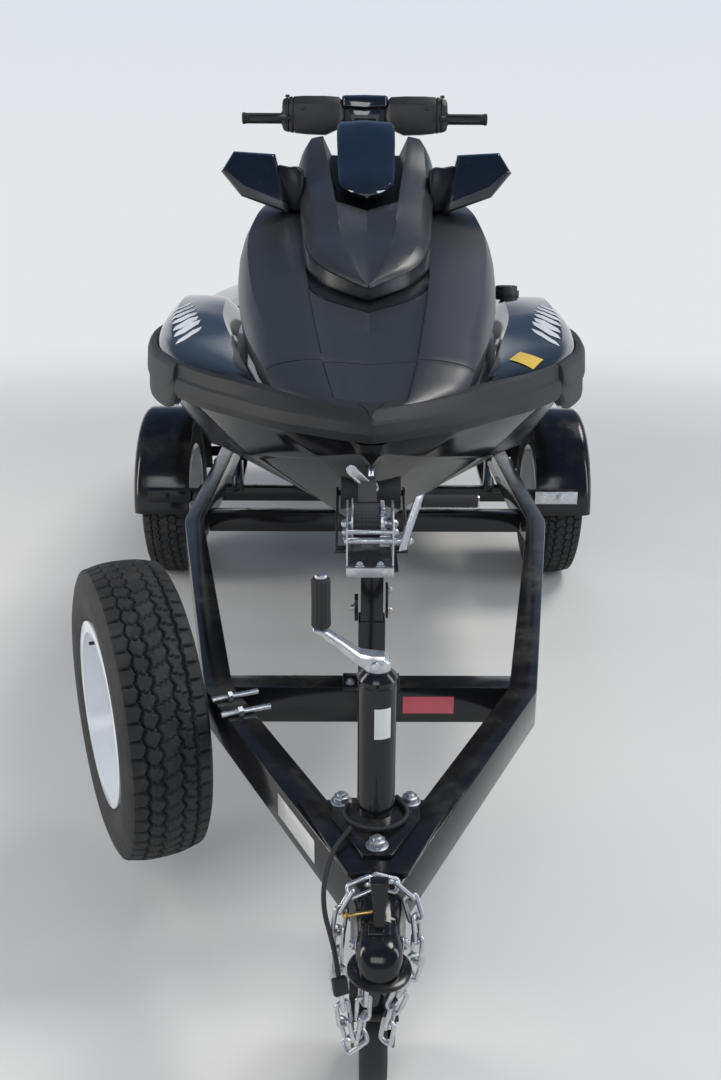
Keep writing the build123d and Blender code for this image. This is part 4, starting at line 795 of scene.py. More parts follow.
def twin(piece):
    """The mirror image of a piece on the other side of the craft, its faces turned the right way."""
    other = copied(piece, Matrix.Scale(-1, 4, (1, 0, 0)))
    other.data.flip_normals()
    return other


print("copies ready")

# %% [markdown]
# Fixings are what gives a trailer its scale. A bolt is a hexagonal head on a round washer with the thread's
# end showing. It is built once from short cylinders, and each copy is scaled and turned to face out of its plate.
# Threaded rod, ribbed hose and ribbed grips are all one idea: rings along a line whose radius goes up and down.

# %% Bolts and ribbed rods
UP = (0, 0, 1)
BOLT_SIZE = 10.0
master_bolt = round_edges(joined([
    drum("bolt", (0, 0, (low + high) / 2), UP, radius, high - low, sides)
    for radius, low, high, sides in ((13, 0, 2.2, 28), (10, 2.2, 8.5, 6), (5.5, 8, 12, 16))]), 0.9)


def turned(axis, side="Y"):
    """The rotation that lays the Z axis along a direction."""
    return Vector(axis).to_track_quat("Z", side).to_matrix().to_4x4()


def bolt(place, axis, size):
    """A copy of the bolt; place is the foot of the washer and axis points out of the plate."""
    scaled = Matrix.Scale(size / BOLT_SIZE, 4)
    return copied(master_bolt, Matrix.Translation(Vector(place) * MM) @ turned(axis) @ scaled)


def softened_line(points):
    """A line with its corners cut again and again, which leaves a smooth curve."""
    line = [Vector(point) for point in points]
    for _ in range(3):
        cut = [line[0]]
        for a, b in zip(line, line[1:]):
            cut += [a.lerp(b, 0.25), a.lerp(b, 0.75)]
        line = cut + [line[-1]]
    return line


def spaced(line, pitch):
    """Points one pitch apart along a line, each with the line's direction there."""
    found, carried = [], 0.0
    for a, b in zip(line, line[1:]):
        run = (b - a).length
        while carried <= run and run > 0:
            found.append((a.lerp(b, carried / run), (b - a).normalized()))
            carried += pitch
        carried -= run
    return found


def ribbed(name, line, radii, pitch, sides=12):
    """A rod along a line whose rings take their radii in turn."""
    rings, across = [], None
    for i, (place, way) in enumerate(spaced(line, pitch)):
        across = way.orthogonal() if across is None else across - way * across.dot(way)
        across.normalize()
        other = way.cross(across)
        radius = radii[i % len(radii)]
        turns = [2 * math.pi * k / sides for k in range(sides)]
        rings.append([place + (across * math.cos(t) + other * math.sin(t)) * radius for t in turns])
    return smooth(ring_solid(name, rings), 50)


def straight(a, b):
    return [Vector(a), Vector(b)]


print("bolt", len(master_bolt.data.polygons), "faces")

# %% [markdown]
# The hood is the long satin cover between the two gloss flanks. Its lower edge tucks in, its shoulder is one
# broad curve, and a sharp step on each side divides it from the flat middle panel. The nose panel carries
# the same lines on below the seam. Both are skins from the same stations as the CAD, with one more point
# beside each crease for the step.

# %% Hood and nose panel
HOOD_ROWS = (
    (-1076.5, 214, 962, 217, 1003, 180, 1019, 99, 1027, 97, 1021, 1015),
    (-940, 243, 964, 252, 1022, 217, 1052, 116, 1070, 113, 1062, 1051),
    (-800, 266, 970, 284, 1040, 250, 1088, 133, 1113, 130, 1104, 1089),
    (-600, 300, 974, 318, 1085, 288, 1142, 152, 1177, 149, 1167, 1148),
    (-300, 322, 986, 345, 1150, 318, 1240, 172, 1262, 169, 1252, 1230),
    (-100, 328, 990, 350, 1168, 304, 1298, 186, 1306, 183, 1297, 1278),
    (145, 328, 980, 348, 1178, 290, 1324, 188, 1342, 185, 1334, 1322),
)
NOSE_ROWS = (
    (-1284, 24, 950, 26, 955, 22, 958, 13, 959, 12, 957, 957),
    (-1245, 88, 948, 92, 959, 84, 966, 68, 970, 66, 966, 965),
    (-1200, 140, 950, 145, 967, 124, 979, 78, 986, 76, 981, 979),
    (-1150, 188, 954, 192, 974, 164, 992, 87, 1003, 85, 998, 995),
    (-1083.5, 214, 958, 217, 1002, 180, 1018, 99, 1027, 97, 1021, 1015),
)
PANEL_CROWNS = (0.02, 0.07, 0.03, 0.0, 0.01)

hood = panel("hood_cover", HOOD_ROWS, PANEL_CROWNS, edge=1.3)
adopt(hood, "hood_cover", "satin_grey_panel", "hood", ("hood_panel",))
nose = panel("nose_cover", NOSE_ROWS, PANEL_CROWNS, edge=1.2)
adopt(nose, "nose_cover", "satin_grey_panel", "trailer_and_hull", ("nose_panel",))
print("hood", len(hood.data.polygons), "nose", len(nose.data.polygons))

# %% [markdown]
# The upper cowl stands proud of the hood on a wedge-shaped foot. Two deep channels run down beside the
# display and fade into crease lines. A satin black lip follows its V-shaped front, and below the lip the hood
# has a chevron-shaped recess, whose shade is painted with a dark satin sheet. The lip is rings of points along the
# cowl's edge in plan.

# %% Upper cowl and its lip
COWL_ROWS = (
    (-754, 2, 1116, 2, 1140, 1.5, 1146, 1, 1148, 0.8, 1148, 1148),
    (-724, 52, 1128, 47, 1157, 38, 1166, 20, 1168, 19, 1167, 1165),
    (-668, 114, 1148, 107, 1182, 86, 1194, 38, 1198, 36, 1196, 1192),
    (-590, 150, 1178, 144, 1210, 118, 1226, 54, 1230, 51, 1226, 1220),
    (-500, 161, 1196, 156, 1228, 130, 1246, 68, 1254, 65, 1249, 1242),
    (-302, 176, 1252, 172, 1292, 148, 1320, 86, 1336, 82, 1328, 1304),
    (-286, 177, 1256, 174, 1297, 150, 1326, 87, 1341, 79, 1306, 1284),
    (-100, 191, 1300, 193, 1354, 170, 1396, 104, 1412, 86, 1366, 1358),
    (60, 197, 1320, 198, 1426, 168, 1486, 126, 1496, 98, 1430, 1418),
    (140, 190, 1330, 191, 1442, 163, 1503, 128, 1510, 102, 1456, 1448),
)
COWL_CROWNS = (0.0, 0.05, 0.02, 0.0, 0.0)
LIP_REAR, LIP_FADE_FROM, LIP_FADE_OVER = -350, -370, 110
SATIN = FINISHES["satin_black"]
cowl = panel("cowl_cover", COWL_ROWS, COWL_CROWNS, edge=1.5)


def right_hand(path, i):
    """The plan direction to the right of a path at one of its points."""
    x0, y0 = path[max(i - 1, 0)][:2]
    x1, y1 = path[min(i + 1, len(path) - 1)][:2]
    length = math.hypot(x1 - x0, y1 - y0)
    return (y1 - y0) / length, -(x1 - x0) / length


half_path = [(row[1], row[0], row[2], row[3], row[4]) for row in smooth_rows(COWL_ROWS, 5) if row[0] < LIP_REAR]
half_path[0] = (0.0, *half_path[0][1:3], 0.0, half_path[0][4])
path = half_path[::-1] + [(-x, y, z, -upper, top) for x, y, z, upper, top in half_path[1:]]
rings = []
for i, (x, y, z, upper, top) in enumerate(path):
    nx, ny = [-way for way in right_hand(path, i)]  # this path runs from port to starboard, so out is on its left
    fade = min(1.0, max(0.12, (LIP_FADE_FROM - y) / LIP_FADE_OVER))
    rise = z + (top - z) * fade
    lean = x + (upper - x) * fade
    rings.append([(x - nx * 8, y - ny * 8, z - 3), (x + nx * 2, y + ny * 2, z - 4), (x + nx * 4, y + ny * 4, z),
                  (lean + nx * 3.5, y + ny * 3.5, rise - 2), (lean + nx, y + ny, rise + 1),
                  (lean - nx * 6, y - ny * 6, rise - 1)])
lip = ring_solid("cowl_lip", rings)
round_edges(lip, 1.0, 2, 30)
adopt(lip, "cowl_lip", "dark_moulded", "hood", finish=SATIN)
print("cowl", len(cowl.data.polygons), "lip", len(lip.data.polygons))

# %% [markdown]
# Painted shade: the recess below the lip, the creases of hood and nose and the hollow under the visor get dark thin
# pieces of their own that lie on the panel under them and stand in for the shade there. A ray cast straight down
# gives the height there.

# %% Painted shade of the recess, the creases and the visor's well
ABOVE_ALL = 3.0


def top_of(piece, x, y):
    """Height of a piece's upper surface over a place in plan, in millimetres."""
    hit, place, _, _ = piece.ray_cast(Vector((x * MM, y * MM, ABOVE_ALL)), Vector((0, 0, -1)))
    return place.z / MM if hit else None


def overlay(name, rows, thickness, finish, body, slot="dark_moulded"):
    """A thin skin of its own over a panel."""
    return adopt(smooth(walled(grid_skin(name, rows), thickness), 30), name, slot, body, finish=finish)


RECESS = ((149, -560), (148, -620), (146, -662), (140, -702), (104, -757), (50, -783), (0, -800))
recess_path = smooth_rows(RECESS, 5)
recess_path += [[-x, y] for x, y in recess_path[-2::-1]]
recess_rows = []
for x, y in recess_path:
    row = []
    for inner, back, rise in ((1.0, 0, -1.0), (0.992, 3, 3.2), (0.97, 12, 3.8), (0.94, 50, 3.4), (0.88, 96, 1.0)):
        row.append((x * inner, y + back, top_of(hood, x * inner, y + back) + rise))
    recess_rows.append(row)
# A dark satin sheet a few millimetres over the hood, with a raised edge: painted shade of the recess below the lip.
recess = overlay("hood_recess", recess_rows, 1.5, SATIN, "hood")
# Dark rods along the crease lines of hood and nose: painted shade along the steps of the creases.
for name, body, under, rows, first, last in (
        ("hood_grooves", "hood", hood, HOOD_ROWS, -1070, -700),
        ("nose_grooves", "trailer_and_hull", nose, NOSE_ROWS, -1235, -1090)):
    line = [(row[7], row[0]) for row in smooth_rows(rows, 5) if first <= row[0] <= last]
    creases = [tube("crease", [(side * x, y, top_of(under, side * x, y) + 0.2) for x, y in line], 1.4, sides=8)
               for side in (-1, 1)]
    adopt(joined(creases), name, "dark_moulded", body, finish=SATIN)
# A dark sheet just over the cowl under the visor: painted shade of the hollow there.
well_rows = []
for y in (-283, -270, -230, -170, -100, -30, 40, 100, 138):
    reach = 76 + (y + 283) * 0.052
    well_rows.append([(x * reach, y, top_of(cowl, x * reach, y) + 1.2) for x in (-1, -0.7, -0.35, 0, 0.35, 0.7, 1)])
overlay("visor_well", well_rows, 1.0, SATIN, "hood")
adopt(cowl, "cowl_cover", "satin_grey_panel", "hood", ("upper_cowl",))
print("recess", len(recess.data.polygons))

# %% [markdown]
# The display visor is a gloss shell with a centre fold, deepest at the rear and drawn to a tip in front. The
# display is a dark glass plate in a bezel on its rear face.

# %% Display visor
VISOR_ROWS = (
    (-284, 4, 1344, 1348, 8), (-262, 40, 1354, 1362, 15), (-222, 74, 1376, 1390, 28),
    (-130, 80, 1422, 1437, 46), (-60, 82, 1460, 1475, 60), (40, 85, 1514, 1527, 76), (100, 85, 1540, 1551, 84),
    (150, 83, 1549, 1557, 90), (190, 79, 1546, 1553, 92),
)
rows = []
for y, half, edge_z, centre_z, depth in smooth_rows(VISOR_ROWS, 3):
    half_line = [(half * 0.66, edge_z - depth), (half * 0.97, edge_z - depth * 0.3), (half, edge_z - 3),
                 (half * 0.90, edge_z + 3), (half * 0.45, (edge_z + centre_z) / 2 + 1.5), (0.0, centre_z)]
    rows.append([(x, y, z) for x, z in both_sides(half_line)])
visor = ring_solid("visor", rows)
round_edges(visor, 2.0, 3, 26)
adopt(visor, "visor_shell", "gloss_visor", "hood", ("display_visor",))
bezel = round_edges(block("bezel", (-64, 64), (188, 194), (1466, 1540)), 3.0, 3)
adopt(bezel, "display_bezel", "dark_moulded", "hood")
glass = round_edges(block("glass", (-56, 56), (192, 195.5), (1474, 1532)), 1.2, 2)
adopt(glass, "display_glass", "gloss_visor", "hood")
print("visor", len(visor.data.polygons))

# %% [markdown]
# Each mirror is a swept-back gloss shell on a short dark arm, with a satin strip along its lower edge. It is made
# from the outline seen from ahead, scaled down towards its front, and mirrored to the other side.

# %% Mirrors
MIRROR = ((368, 1457), (252, 1450), (214, 1293), (346, 1338), (403, 1404))
MIRROR_REAR = -132


def mirror_ring(scale, y, lean):
    """The outline scaled about its middle and leaned back towards its top."""
    cx = sum(x for x, _ in MIRROR) / len(MIRROR)
    cz = sum(z for _, z in MIRROR) / len(MIRROR)
    return [(cx + (x - cx) * scale, y + (z - cz) * lean, cz + (z - cz) * scale) for x, z in MIRROR]


shell_rings = [mirror_ring(scale, MIRROR_REAR - back, lean) for back, scale, lean in
               ((72, 0.86, 0.34), (66, 0.93, 0.33), (48, 0.98, 0.26), (24, 0.998, 0.1), (0, 1.0, 0), (0, 0.93, 0),
                (8, 0.90, 0))]
shell = ring_solid("mirror_shell", shell_rings)
round_edges(shell, 5.0, 3, 20)
arm = ring_solid("mirror_arm", [
    [(x, y0, z0), (x, y0 - 8, (z0 + z1) / 2), (x, y0, z1), (x, y1, z1 + 4), (x, y1, z0 - 2)]
    for x, y0, y1, z0, z1 in ((176, -176, -92, 1306, 1404), (194, -178, -94, 1300, 1416),
                              (216, -176, -98, 1302, 1414), (246, -168, -110, 1318, 1420))])
round_edges(arm, 4.0, 3, 20)
strip_rings = []
for back, scale, lean in ((73.5, 0.872, 0.34), (67, 0.942, 0.33), (48, 0.99, 0.26), (24, 1.006, 0.1), (1, 1.01, 0)):
    ring = mirror_ring(scale, MIRROR_REAR - back, lean)
    inner, low, outer = ring[2], ring[3], ring[4]
    rise = 26 * scale
    strip_rings.append([inner, low, outer, (outer[0] - 8, outer[1], outer[2] + rise * 0.2),
                        (low[0] - 8, low[1] + 1, low[2] + rise), (inner[0] + 6, inner[1] + 1, inner[2] + rise)])
strip = ring_solid("mirror_strip", strip_rings)
round_edges(strip, 1.5, 2, 25)
for side, pieces in (("port", (shell, arm, strip)), ("starboard", [twin(piece) for piece in (shell, arm, strip)])):
    body, foot, band = pieces
    adopt(body, "mirror_shell_" + side, "gloss_visor", "hood", ("mirrors",) if side == "port" else ())
    adopt(foot, "mirror_arm_" + side, "dark_moulded", "hood", finish=SATIN)
    adopt(band, "mirror_strip_" + side, "satin_grey_panel", "hood")
print("mirrors", len(shell.data.polygons), "faces each")

# %% [markdown]
# The deck is one gloss moulding from the bow to the stern platform: gunwale, side fairings with a sharp
# ridge, footwells and the pedestal under the seats. Its stations run along the craft like the hood's. The
# ways down to the storage bin and the engine are cut out with plain blocks by a Boolean modifier.

# %% Deck
DECK_ROWS = (
    (-1245, 74, 905, 74, 940, 70, 944, 66, 944, 58, 942, 46, 942, 30, 942, 942),
    (-1200, 134, 905, 134, 944, 128, 948, 122, 948, 114, 945, 96, 945, 70, 945, 945),
    (-1080, 248, 905, 248, 958, 240, 968, 232, 969, 226, 950, 200, 950, 150, 950, 950),
    (-950, 373, 905, 373, 972, 352, 986, 268, 986, 258, 956, 240, 954, 180, 954, 954),
    (-600, 523, 905, 523, 978, 488, 1012, 338, 1002, 322, 968, 300, 962, 230, 962, 962),
    (-300, 566, 901, 566, 984, 522, 1040, 395, 1030, 352, 985, 318, 975, 230, 972, 972),
    (0, 582, 897, 582, 975, 545, 1046, 420, 1044, 365, 990, 320, 980, 225, 980, 980),
    (240, 587, 893, 587, 968, 552, 1030, 440, 1015, 400, 960, 300, 960, 222, 984, 984),
    (430, 590, 889, 590, 960, 556, 996, 474, 985, 455, 726, 235, 726, 212, 990, 990),
    (1300, 578, 870, 578, 942, 545, 966, 470, 956, 452, 722, 235, 722, 208, 1004, 1004),
    (1690, 560, 861, 560, 928, 528, 950, 452, 940, 436, 728, 240, 728, 208, 1010, 1010),
    (1840, 555, 858, 555, 924, 522, 942, 440, 930, 402, 850, 250, 850, 205, 1010, 1010),
    (1900, 552, 857, 552, 922, 520, 938, 436, 924, 392, 848, 240, 848, 150, 848, 848),
    (2224, 528, 851, 528, 900, 498, 906, 418, 880, 380, 844, 200, 844, 120, 844, 844),
)
DECK_CROWNS = (0.0, 0.12, 0.03, 0.02, 0.0, 0.0, 0.0, 0.0)
HATCHES = (((-196, 196), (-905, -215), (900, 1010)), ((-150, 150), (640, 1150), (940, 1060)),
           ((-140, 140), (1230, 1700), (940, 1060)))
SKIRT_Y, SKIRT_Z = 2231, 806
deck_rows = across_rows(DECK_ROWS, DECK_CROWNS)
deck_rows.append([(x * 0.998, SKIRT_Y, z - 5) for x, _, z in deck_rows[-1]])
deck_rows.append([(x, SKIRT_Y + 0.5, min(z, SKIRT_Z)) for x, _, z in deck_rows[-1]])
deck = walled(grid_skin("deck", deck_rows), 5.0)
for bounds in HATCHES:
    cutter = block("hatch", *bounds)
    modify(deck, "BOOLEAN", operation="DIFFERENCE", object=cutter, solver="EXACT")
    bpy.data.objects.remove(cutter)
round_edges(deck, 4.0, 3, 24)
adopt(deck, "deck_moulding", "gloss_black_gelcoat", "trailer_and_hull", ("deck", "stern_deck"))
print("deck", len(deck.data.polygons))

# %% [markdown]
# The bow bumper is one soft moulding round the nose: a broad top that leans outwards, a narrow front band
# and an under face. A stockier rub rail follows on each side, its lower front corner bulging under the
# bumper's end, held by a screw. Both are rings of points along a smooth path in plan.

# %% Bumpers
BOW_PATH = (
    (-436, -874, 13, 987, 948), (-400, -934, 14, 986, 948), (-345, -1016, 17, 985, 947),
    (-290, -1078, 26, 983, 946), (-190, -1196, 44, 978, 945), (-100, -1264, 52, 973, 943),
    (-40, -1304, 64, 970, 942), (0, -1325, 72, 969, 941),
)
SIDE_PATH = (
    (440, -872, 912, 984, 5), (452, -846, 886, 985, 8), (488, -760, 862, 985, 9), (532, -640, 857, 984, 9),
    (566, -480, 858, 983, 9), (600, -190, 858, 978, 9), (612, 400, 852, 962, 9), (600, 1300, 836, 944, 9),
    (574, 2000, 824, 920, 9), (563, 2166, 822, 914, 7),
)
half_path = smooth_rows(BOW_PATH, 5)
path = half_path + [[-row[0], *row[1:]] for row in half_path[-2::-1]]
rings = []
for i, (x, y, reach, top, ridge) in enumerate(path):
    nx, ny = right_hand(path, i)
    rings.append([(x + nx * out, y + ny * out, z) for out, z in (
        (-reach, top), (-reach * 0.45, top - 6), (-3, ridge + 6), (2, ridge), (6, 923), (4, 918), (-2, 905),
        (-20, 904), (-26, 930), (-reach - 2, top - 14))])
bow_bumper = ring_solid("bow_bumper_moulding", rings)
round_edges(bow_bumper, 3.0, 3, 16)
adopt(bow_bumper, "bow_bumper_moulding", "bumper_rubber", "trailer_and_hull", ("bow_bumper",))

path = smooth_rows(SIDE_PATH, 4)
rings = []
for i, (x, y, low, high, belly) in enumerate(path):
    nx, ny = right_hand(path, i)
    middle = (low + high) / 2
    rings.append([(x + nx * out, y + ny * out, z) for out, z in (
        (-20, high), (-4, high + 0.5), (belly - 4, high - 12), (belly - 1, middle + 12), (belly, middle),
        (belly - 5, middle - 8), (belly - 3, low + 12), (-3, low), (-20, low + 2))])
side_rail = ring_solid("side_bumper_port", rings)
round_edges(side_rail, 3.0, 3, 18)
screw = drum("screw", (450, -825, 884), (0.5, -0.75, -0.45), 6, 8, 20)
washer = drum("washer", (449, -823, 885), (0.5, -0.75, -0.45), 9, 5, 24)
screw = round_edges(joined([screw, washer]), 0.8)
for side, piece, fixing in (("starboard", twin(side_rail), twin(screw)), ("port", side_rail, screw)):
    adopt(piece, "side_bumper_" + side, "bumper_rubber", "trailer_and_hull",
          ("side_bumpers",) if side == "port" else ())
    adopt(fixing, "bumper_screw_" + side, "stainless", "trailer_and_hull")
print("bumpers", len(bow_bumper.data.polygons), len(side_rail.data.polygons))

# %% [markdown]
# The rest of the craft keeps its CAD shape, whose hard edges only need the small radius of a moulding or a
# casting. Each such piece is a merged copy of its node with a Bevel on the edges.

# %% Mouldings and castings with rounded edges


def softened(node, width, segments=2, angle=32, finish=None):
    """A merged copy of a CAD node with rounded edges, which stands in for it."""
    piece = bpy.data.objects.new(node + "_soft", NODES[node].data.copy())
    bpy.context.scene.collection.objects.link(piece)
    in_edit(piece, (bpy.ops.mesh.remove_doubles, {"threshold": 0.02 * MM}),
            (bpy.ops.mesh.dissolve_limited, {"angle_limit": math.radians(1.0)}))
    round_edges(piece, width, segments, angle)
    return adopt(piece, node + "_soft", SLOT_OF[node], BODY_OF[node], (node,), finish)


for node, width in (("console", 4.0), ("glovebox_lid", 2.5), ("grab_handle", 1.0), ("storage_bin", 3.0),
                    ("sponsons", 3.0), ("fuel_cap", 2.0), ("hull", 1.5), ("ride_plate", 2.0),
                    ("intake_grate", 1.0), ("steering_nozzle", 1.0), ("reverse_bucket", 1.5)):
    piece = softened(node, width, finish=FINISHES["hull_gelcoat"] if node == "hull" else None)
    print(node, len(piece.data.polygons))

# %% [markdown]
# The bars carry a moulded cover: a block on each side with the switch housing at its outer end, and a gloss
# strip in the middle with a dark slot on either side. A block is rings of points along the bar, and a narrow
# ring that is a little smaller makes the seam before the switch housing.

# %% Handlebar cover
POD_ROWS = (
    (64, 398, 450, 1578, 1606), (70, 388, 456, 1562, 1628), (84, 380, 462, 1545, 1640), (128, 372, 466, 1526, 1642),
    (190, 372, 466, 1528, 1642), (228, 374, 464, 1532, 1640), (229, 377, 461, 1535, 1637),
    (232, 377, 461, 1535, 1637), (233, 374, 464, 1532, 1640), (243, 375, 463, 1534, 1638),
    (244, 379, 459, 1538, 1634), (246, 379, 459, 1538, 1634), (247, 375, 463, 1534, 1638),
    (262, 378, 460, 1538, 1632), (266, 384, 454, 1546, 1622),
)


def pod_ring(x, front, rear, low, high):
    """One section of the cover, its front leaning back towards the top."""
    tall = high - low
    return [(x, front + 8, low), (x, front, low + tall * 0.16), (x, front + 5, low + tall * 0.78),
            (x, front + 24, high), (x, rear - 18, high), (x, rear, high - tall * 0.2), (x, rear, low + tall * 0.2),
            (x, rear - 12, low)]


pod = round_edges(ring_solid("pod", [pod_ring(*row) for row in POD_ROWS]), 3.0, 3, 32)
button = joined([drum("button", (199, 372, 1604), (0, -1, 0.1), 5, 6, 20),
                 drum("top_button", (248, 388, 1640), UP, 7, 8, 20)])
pods = joined([pod, round_edges(button, 1.0), twin(pod), twin(button)])
adopt(pods, "handlebar_cover", "dark_moulded", "steering", ("handlebar_pod",))
strip = ring_solid("strip", [pod_ring(*row) for row in (
    (-74, 392, 452, 1616, 1642), (-66, 384, 460, 1606, 1645), (0, 377, 462, 1600, 1646),
    (66, 384, 460, 1606, 1645), (74, 392, 452, 1616, 1642))])
adopt(round_edges(strip, 2.0, 3, 32), "handlebar_strip", "gloss_visor", "steering")
plate = ring_solid("plate", [[(-w, y, z), (w, y, z), (w, y + 6, z), (-w, y + 6, z)] for w, y, z in (
    (40, 392, 1560), (46, 392, 1580), (54, 396, 1608))])
adopt(round_edges(plate, 1.5, 2), "handlebar_plate", "gloss_visor", "steering")
core = round_edges(block("core", (-66, 66), (402, 452), (1556, 1606)), 4.0, 3)
adopt(core, "handlebar_core", "dark_moulded", "steering")
grip = joined([
    ribbed("grip", straight((268, 420, 1575), (391, 420, 1575)), (16.8, 16.8, 16.0, 16.0), 1.6, 28),
    round_edges(drum("flange", (268, 420, 1575), (1, 0, 0), 21, 5, 40), 1.8, 3),
    round_edges(drum("bar_end", (392, 420, 1575), (1, 0, 0), 18, 11, 40), 2.5, 3)])
for side, piece in (("starboard", twin(grip)), ("port", grip)):
    adopt(piece, "grip_" + side, "grip_rubber", "steering", ("grips",) if side == "port" else ())
print("handlebar cover", len(pods.data.polygons))

# %% [markdown]
# A radial tyre: five ribs of blocks between zigzag grooves, cut across by slots that are shifted from rib to
# rib, shallow sipes in the blocks, and flanks with a few fine rings. The tread is a grid wrapped round the
# wheel, each vertex lowered where a groove or slot passes. It is modelled once about the X axis and copied.

# %% Tread pattern
PITCHES, STEPS_A_PITCH = 56, 8
TREAD_HALF, TREAD_R = 58.0, 290.0
FLANK = ((56, 168), (60, 166), (66, 172), (69, 183), (73, 190), (77.5, 205), (79, 212), (81, 222),
         (80.6, 226), (81.6, 234), (80.5, 247), (79.4, 250), (77.5, 258), (75, 267), (71.5, 275))
SHOULDER = ((65, 281.5, 4.0), (69, 279.5, 2.5))
LINING = ((58, 200), (64, 226), (60, 255), (40, 270), (0, 274))
ZIGZAG = ((-43.0, 3.0, 0.0), (-17.0, 4.0, 0.5), (17.0, 4.0, 0.0), (43.0, 3.0, 0.5))
GROOVE_HALF, GROOVE_DEEP, LEDGE_HALF, LEDGE_DEEP = 1.8, 7.0, 2.6, 4.0
SLOT_PLACES, SLOT_DEPTHS = (0.1, 0.6, 0.25, 0.85, 0.4), (6.0, 4.5, 3.5, 4.5, 6.0)
SIPE_DEEP = 1.2


def tread_depth(pitch, x):
    """How far below the crown the rubber lies, in millimetres."""
    phase = pitch % 1.0
    depth = 0.0
    rib = 0
    for middle, swing, shift in ZIGZAG:
        bend = abs(((phase + shift) % 1.0) - 0.5) * 4.0 - 1.0
        away = abs(x - (middle + swing * bend))
        if away < LEDGE_HALF:
            depth = max(depth, GROOVE_DEEP if away < GROOVE_HALF else LEDGE_DEEP)
        if x > middle + swing * bend:
            rib += 1
    away = abs(((phase - SLOT_PLACES[rib] + 0.12 * math.sin(x * 0.12) + 0.5) % 1.0) - 0.5)
    if away < 0.07:
        depth = max(depth, SLOT_DEPTHS[rib])
    elif abs(away - 0.28) < 0.03 and rib in (1, 2, 3):
        depth = max(depth, SIPE_DEEP)
    return depth


def crown_radius(x):
    """The tread's own curve from its middle to its shoulders."""
    return TREAD_R - 7.5 * (abs(x) / TREAD_HALF) ** 2.6


def tyre_rows():
    """Closed sections round the wheel: flank, shoulder, tread, shoulder, flank and the lining inside."""
    steps = PITCHES * STEPS_A_PITCH
    across = [-TREAD_HALF + 2 * TREAD_HALF * i / 46 for i in range(47)]
    rows = []
    for step in range(steps + 1):
        angle = 2 * math.pi * step / steps
        pitch = (step % steps) / STEPS_A_PITCH
        cut = [tread_depth(pitch, x) > 2 for x in (-TREAD_HALF, TREAD_HALF)]
        line = [(-x, r) for x, r in FLANK]
        line += [(-x, r - drop * cut[0]) for x, r, drop in SHOULDER[::-1]]
        line += [(x, crown_radius(x) - tread_depth(pitch, x)) for x in across]
        line += [(x, r - drop * cut[1]) for x, r, drop in SHOULDER]
        line += [(x, r) for x, r in FLANK[::-1]]
        line += [(x, r) for x, r in LINING] + [(-x, r) for x, r in LINING[-2::-1]]
        line.append(line[0])
        rows.append([(x, r * math.cos(angle), r * math.sin(angle)) for x, r in line])
    return rows


print("tread:", PITCHES, "pitches")

# %% [markdown]
# The road wheels stand on the axle's spindles, and the spare leans on its bracket at the starboard rail. One
# matrix for each says where the wheel goes.

# %% Tyres
master_tyre = grid_skin("tyre", tyre_rows())
close_up(master_tyre, 0.02)
smooth(master_tyre, 32)
SPARE_PLACE = Matrix.Translation((-0.457, -1.395, 0.392)) @ Matrix.Rotation(math.radians(203.7), 4, "Z")
PORT_PLACE = Matrix.Translation((0.688, 0.5, 0.29))
STARBOARD_PLACE = Matrix.Translation((-0.688, 0.5, 0.29))


PORT_NODE, STARBOARD_NODE = ("left", "right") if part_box("tyre_left")[0][0] > 0 else ("right", "left")
for place, label in ((PORT_PLACE, PORT_NODE), (STARBOARD_PLACE, STARBOARD_NODE), (SPARE_PLACE, "spare")):
    node = "spare_tyre" if label == "spare" else "tyre_" + label
    piece = copied(master_tyre, place)
    adopt(piece, "tread_" + label, "tyre_rubber", BODY_OF[node], (node,))
bpy.data.objects.remove(master_tyre)
print("tyres", len(piece.data.polygons), "faces each")

# %% [markdown]
# The pressed steel rims keep the CAD's barrel, flange and vented disc with rounded edges. Each gets a ring of
# nuts and a rubber valve, and the road wheels a turned cap over the hub, all copied from one set.

# %% Rims, nuts and valves


def revolved(name, profile, steps=64):
    """A turned piece about the X axis, from a line of x and radius in millimetres."""
    rows = []
    for step in range(steps + 1):
        angle = 2 * math.pi * step / steps
        rows.append([(x, r * math.cos(angle), r * math.sin(angle)) for x, r in profile])
    piece = grid_skin(name, rows)
    close_up(piece)
    return piece


VALVE_OUT = 150
HALF_TURN = Matrix.Rotation(math.pi, 4, "Z")
nut = drum("nut", (34, 0, 50), (1, 0, 0), 9.5, 18, 6)
seat_ring = drum("seat_ring", (25, 0, 50), (1, 0, 0), 12, 4, 20)
nut = round_edges(joined([nut, seat_ring]), 1.0)
nuts = joined([copied(nut, Matrix.Rotation(math.pi / 2 * i + 0.4, 4, "X")) for i in range(4)])
bpy.data.objects.remove(nut)
cap = revolved("hub_cap", [(52, 0), (55, 6), (55, 20), (50, 27), (26, 29), (25, 29)], 40)
in_edit(cap, (bpy.ops.mesh.fill_holes, {"sides": 0}), (bpy.ops.mesh.normals_make_consistent, {"inside": False}))
smooth(cap, 30)
valve = smooth(revolved("valve", [(46, 0), (46, 4.2), (60, 4.2), (62, 3.4), (82, 3.4), (82, 0)], 16), 30)
valve.data.transform(Matrix.Translation((0, 0, VALVE_OUT * MM)))
for place, label in ((PORT_PLACE, PORT_NODE), (STARBOARD_PLACE @ HALF_TURN, STARBOARD_NODE), (SPARE_PLACE, "spare")):
    node = "spare_rim" if label == "spare" else "rim_" + label
    softened(node, 1.2, 2, 30)
    adopt(copied(nuts, place), "nuts_" + label, "zinc_plate", BODY_OF[node])
    adopt(copied(valve, place), "valve_" + label, "grip_rubber", BODY_OF[node])
    if label != "spare":
        adopt(copied(cap, place), "hub_cap_" + label, "zinc_plate", BODY_OF[node])
for piece in (nuts, cap, valve):
    bpy.data.objects.remove(piece)
print("rims dressed")

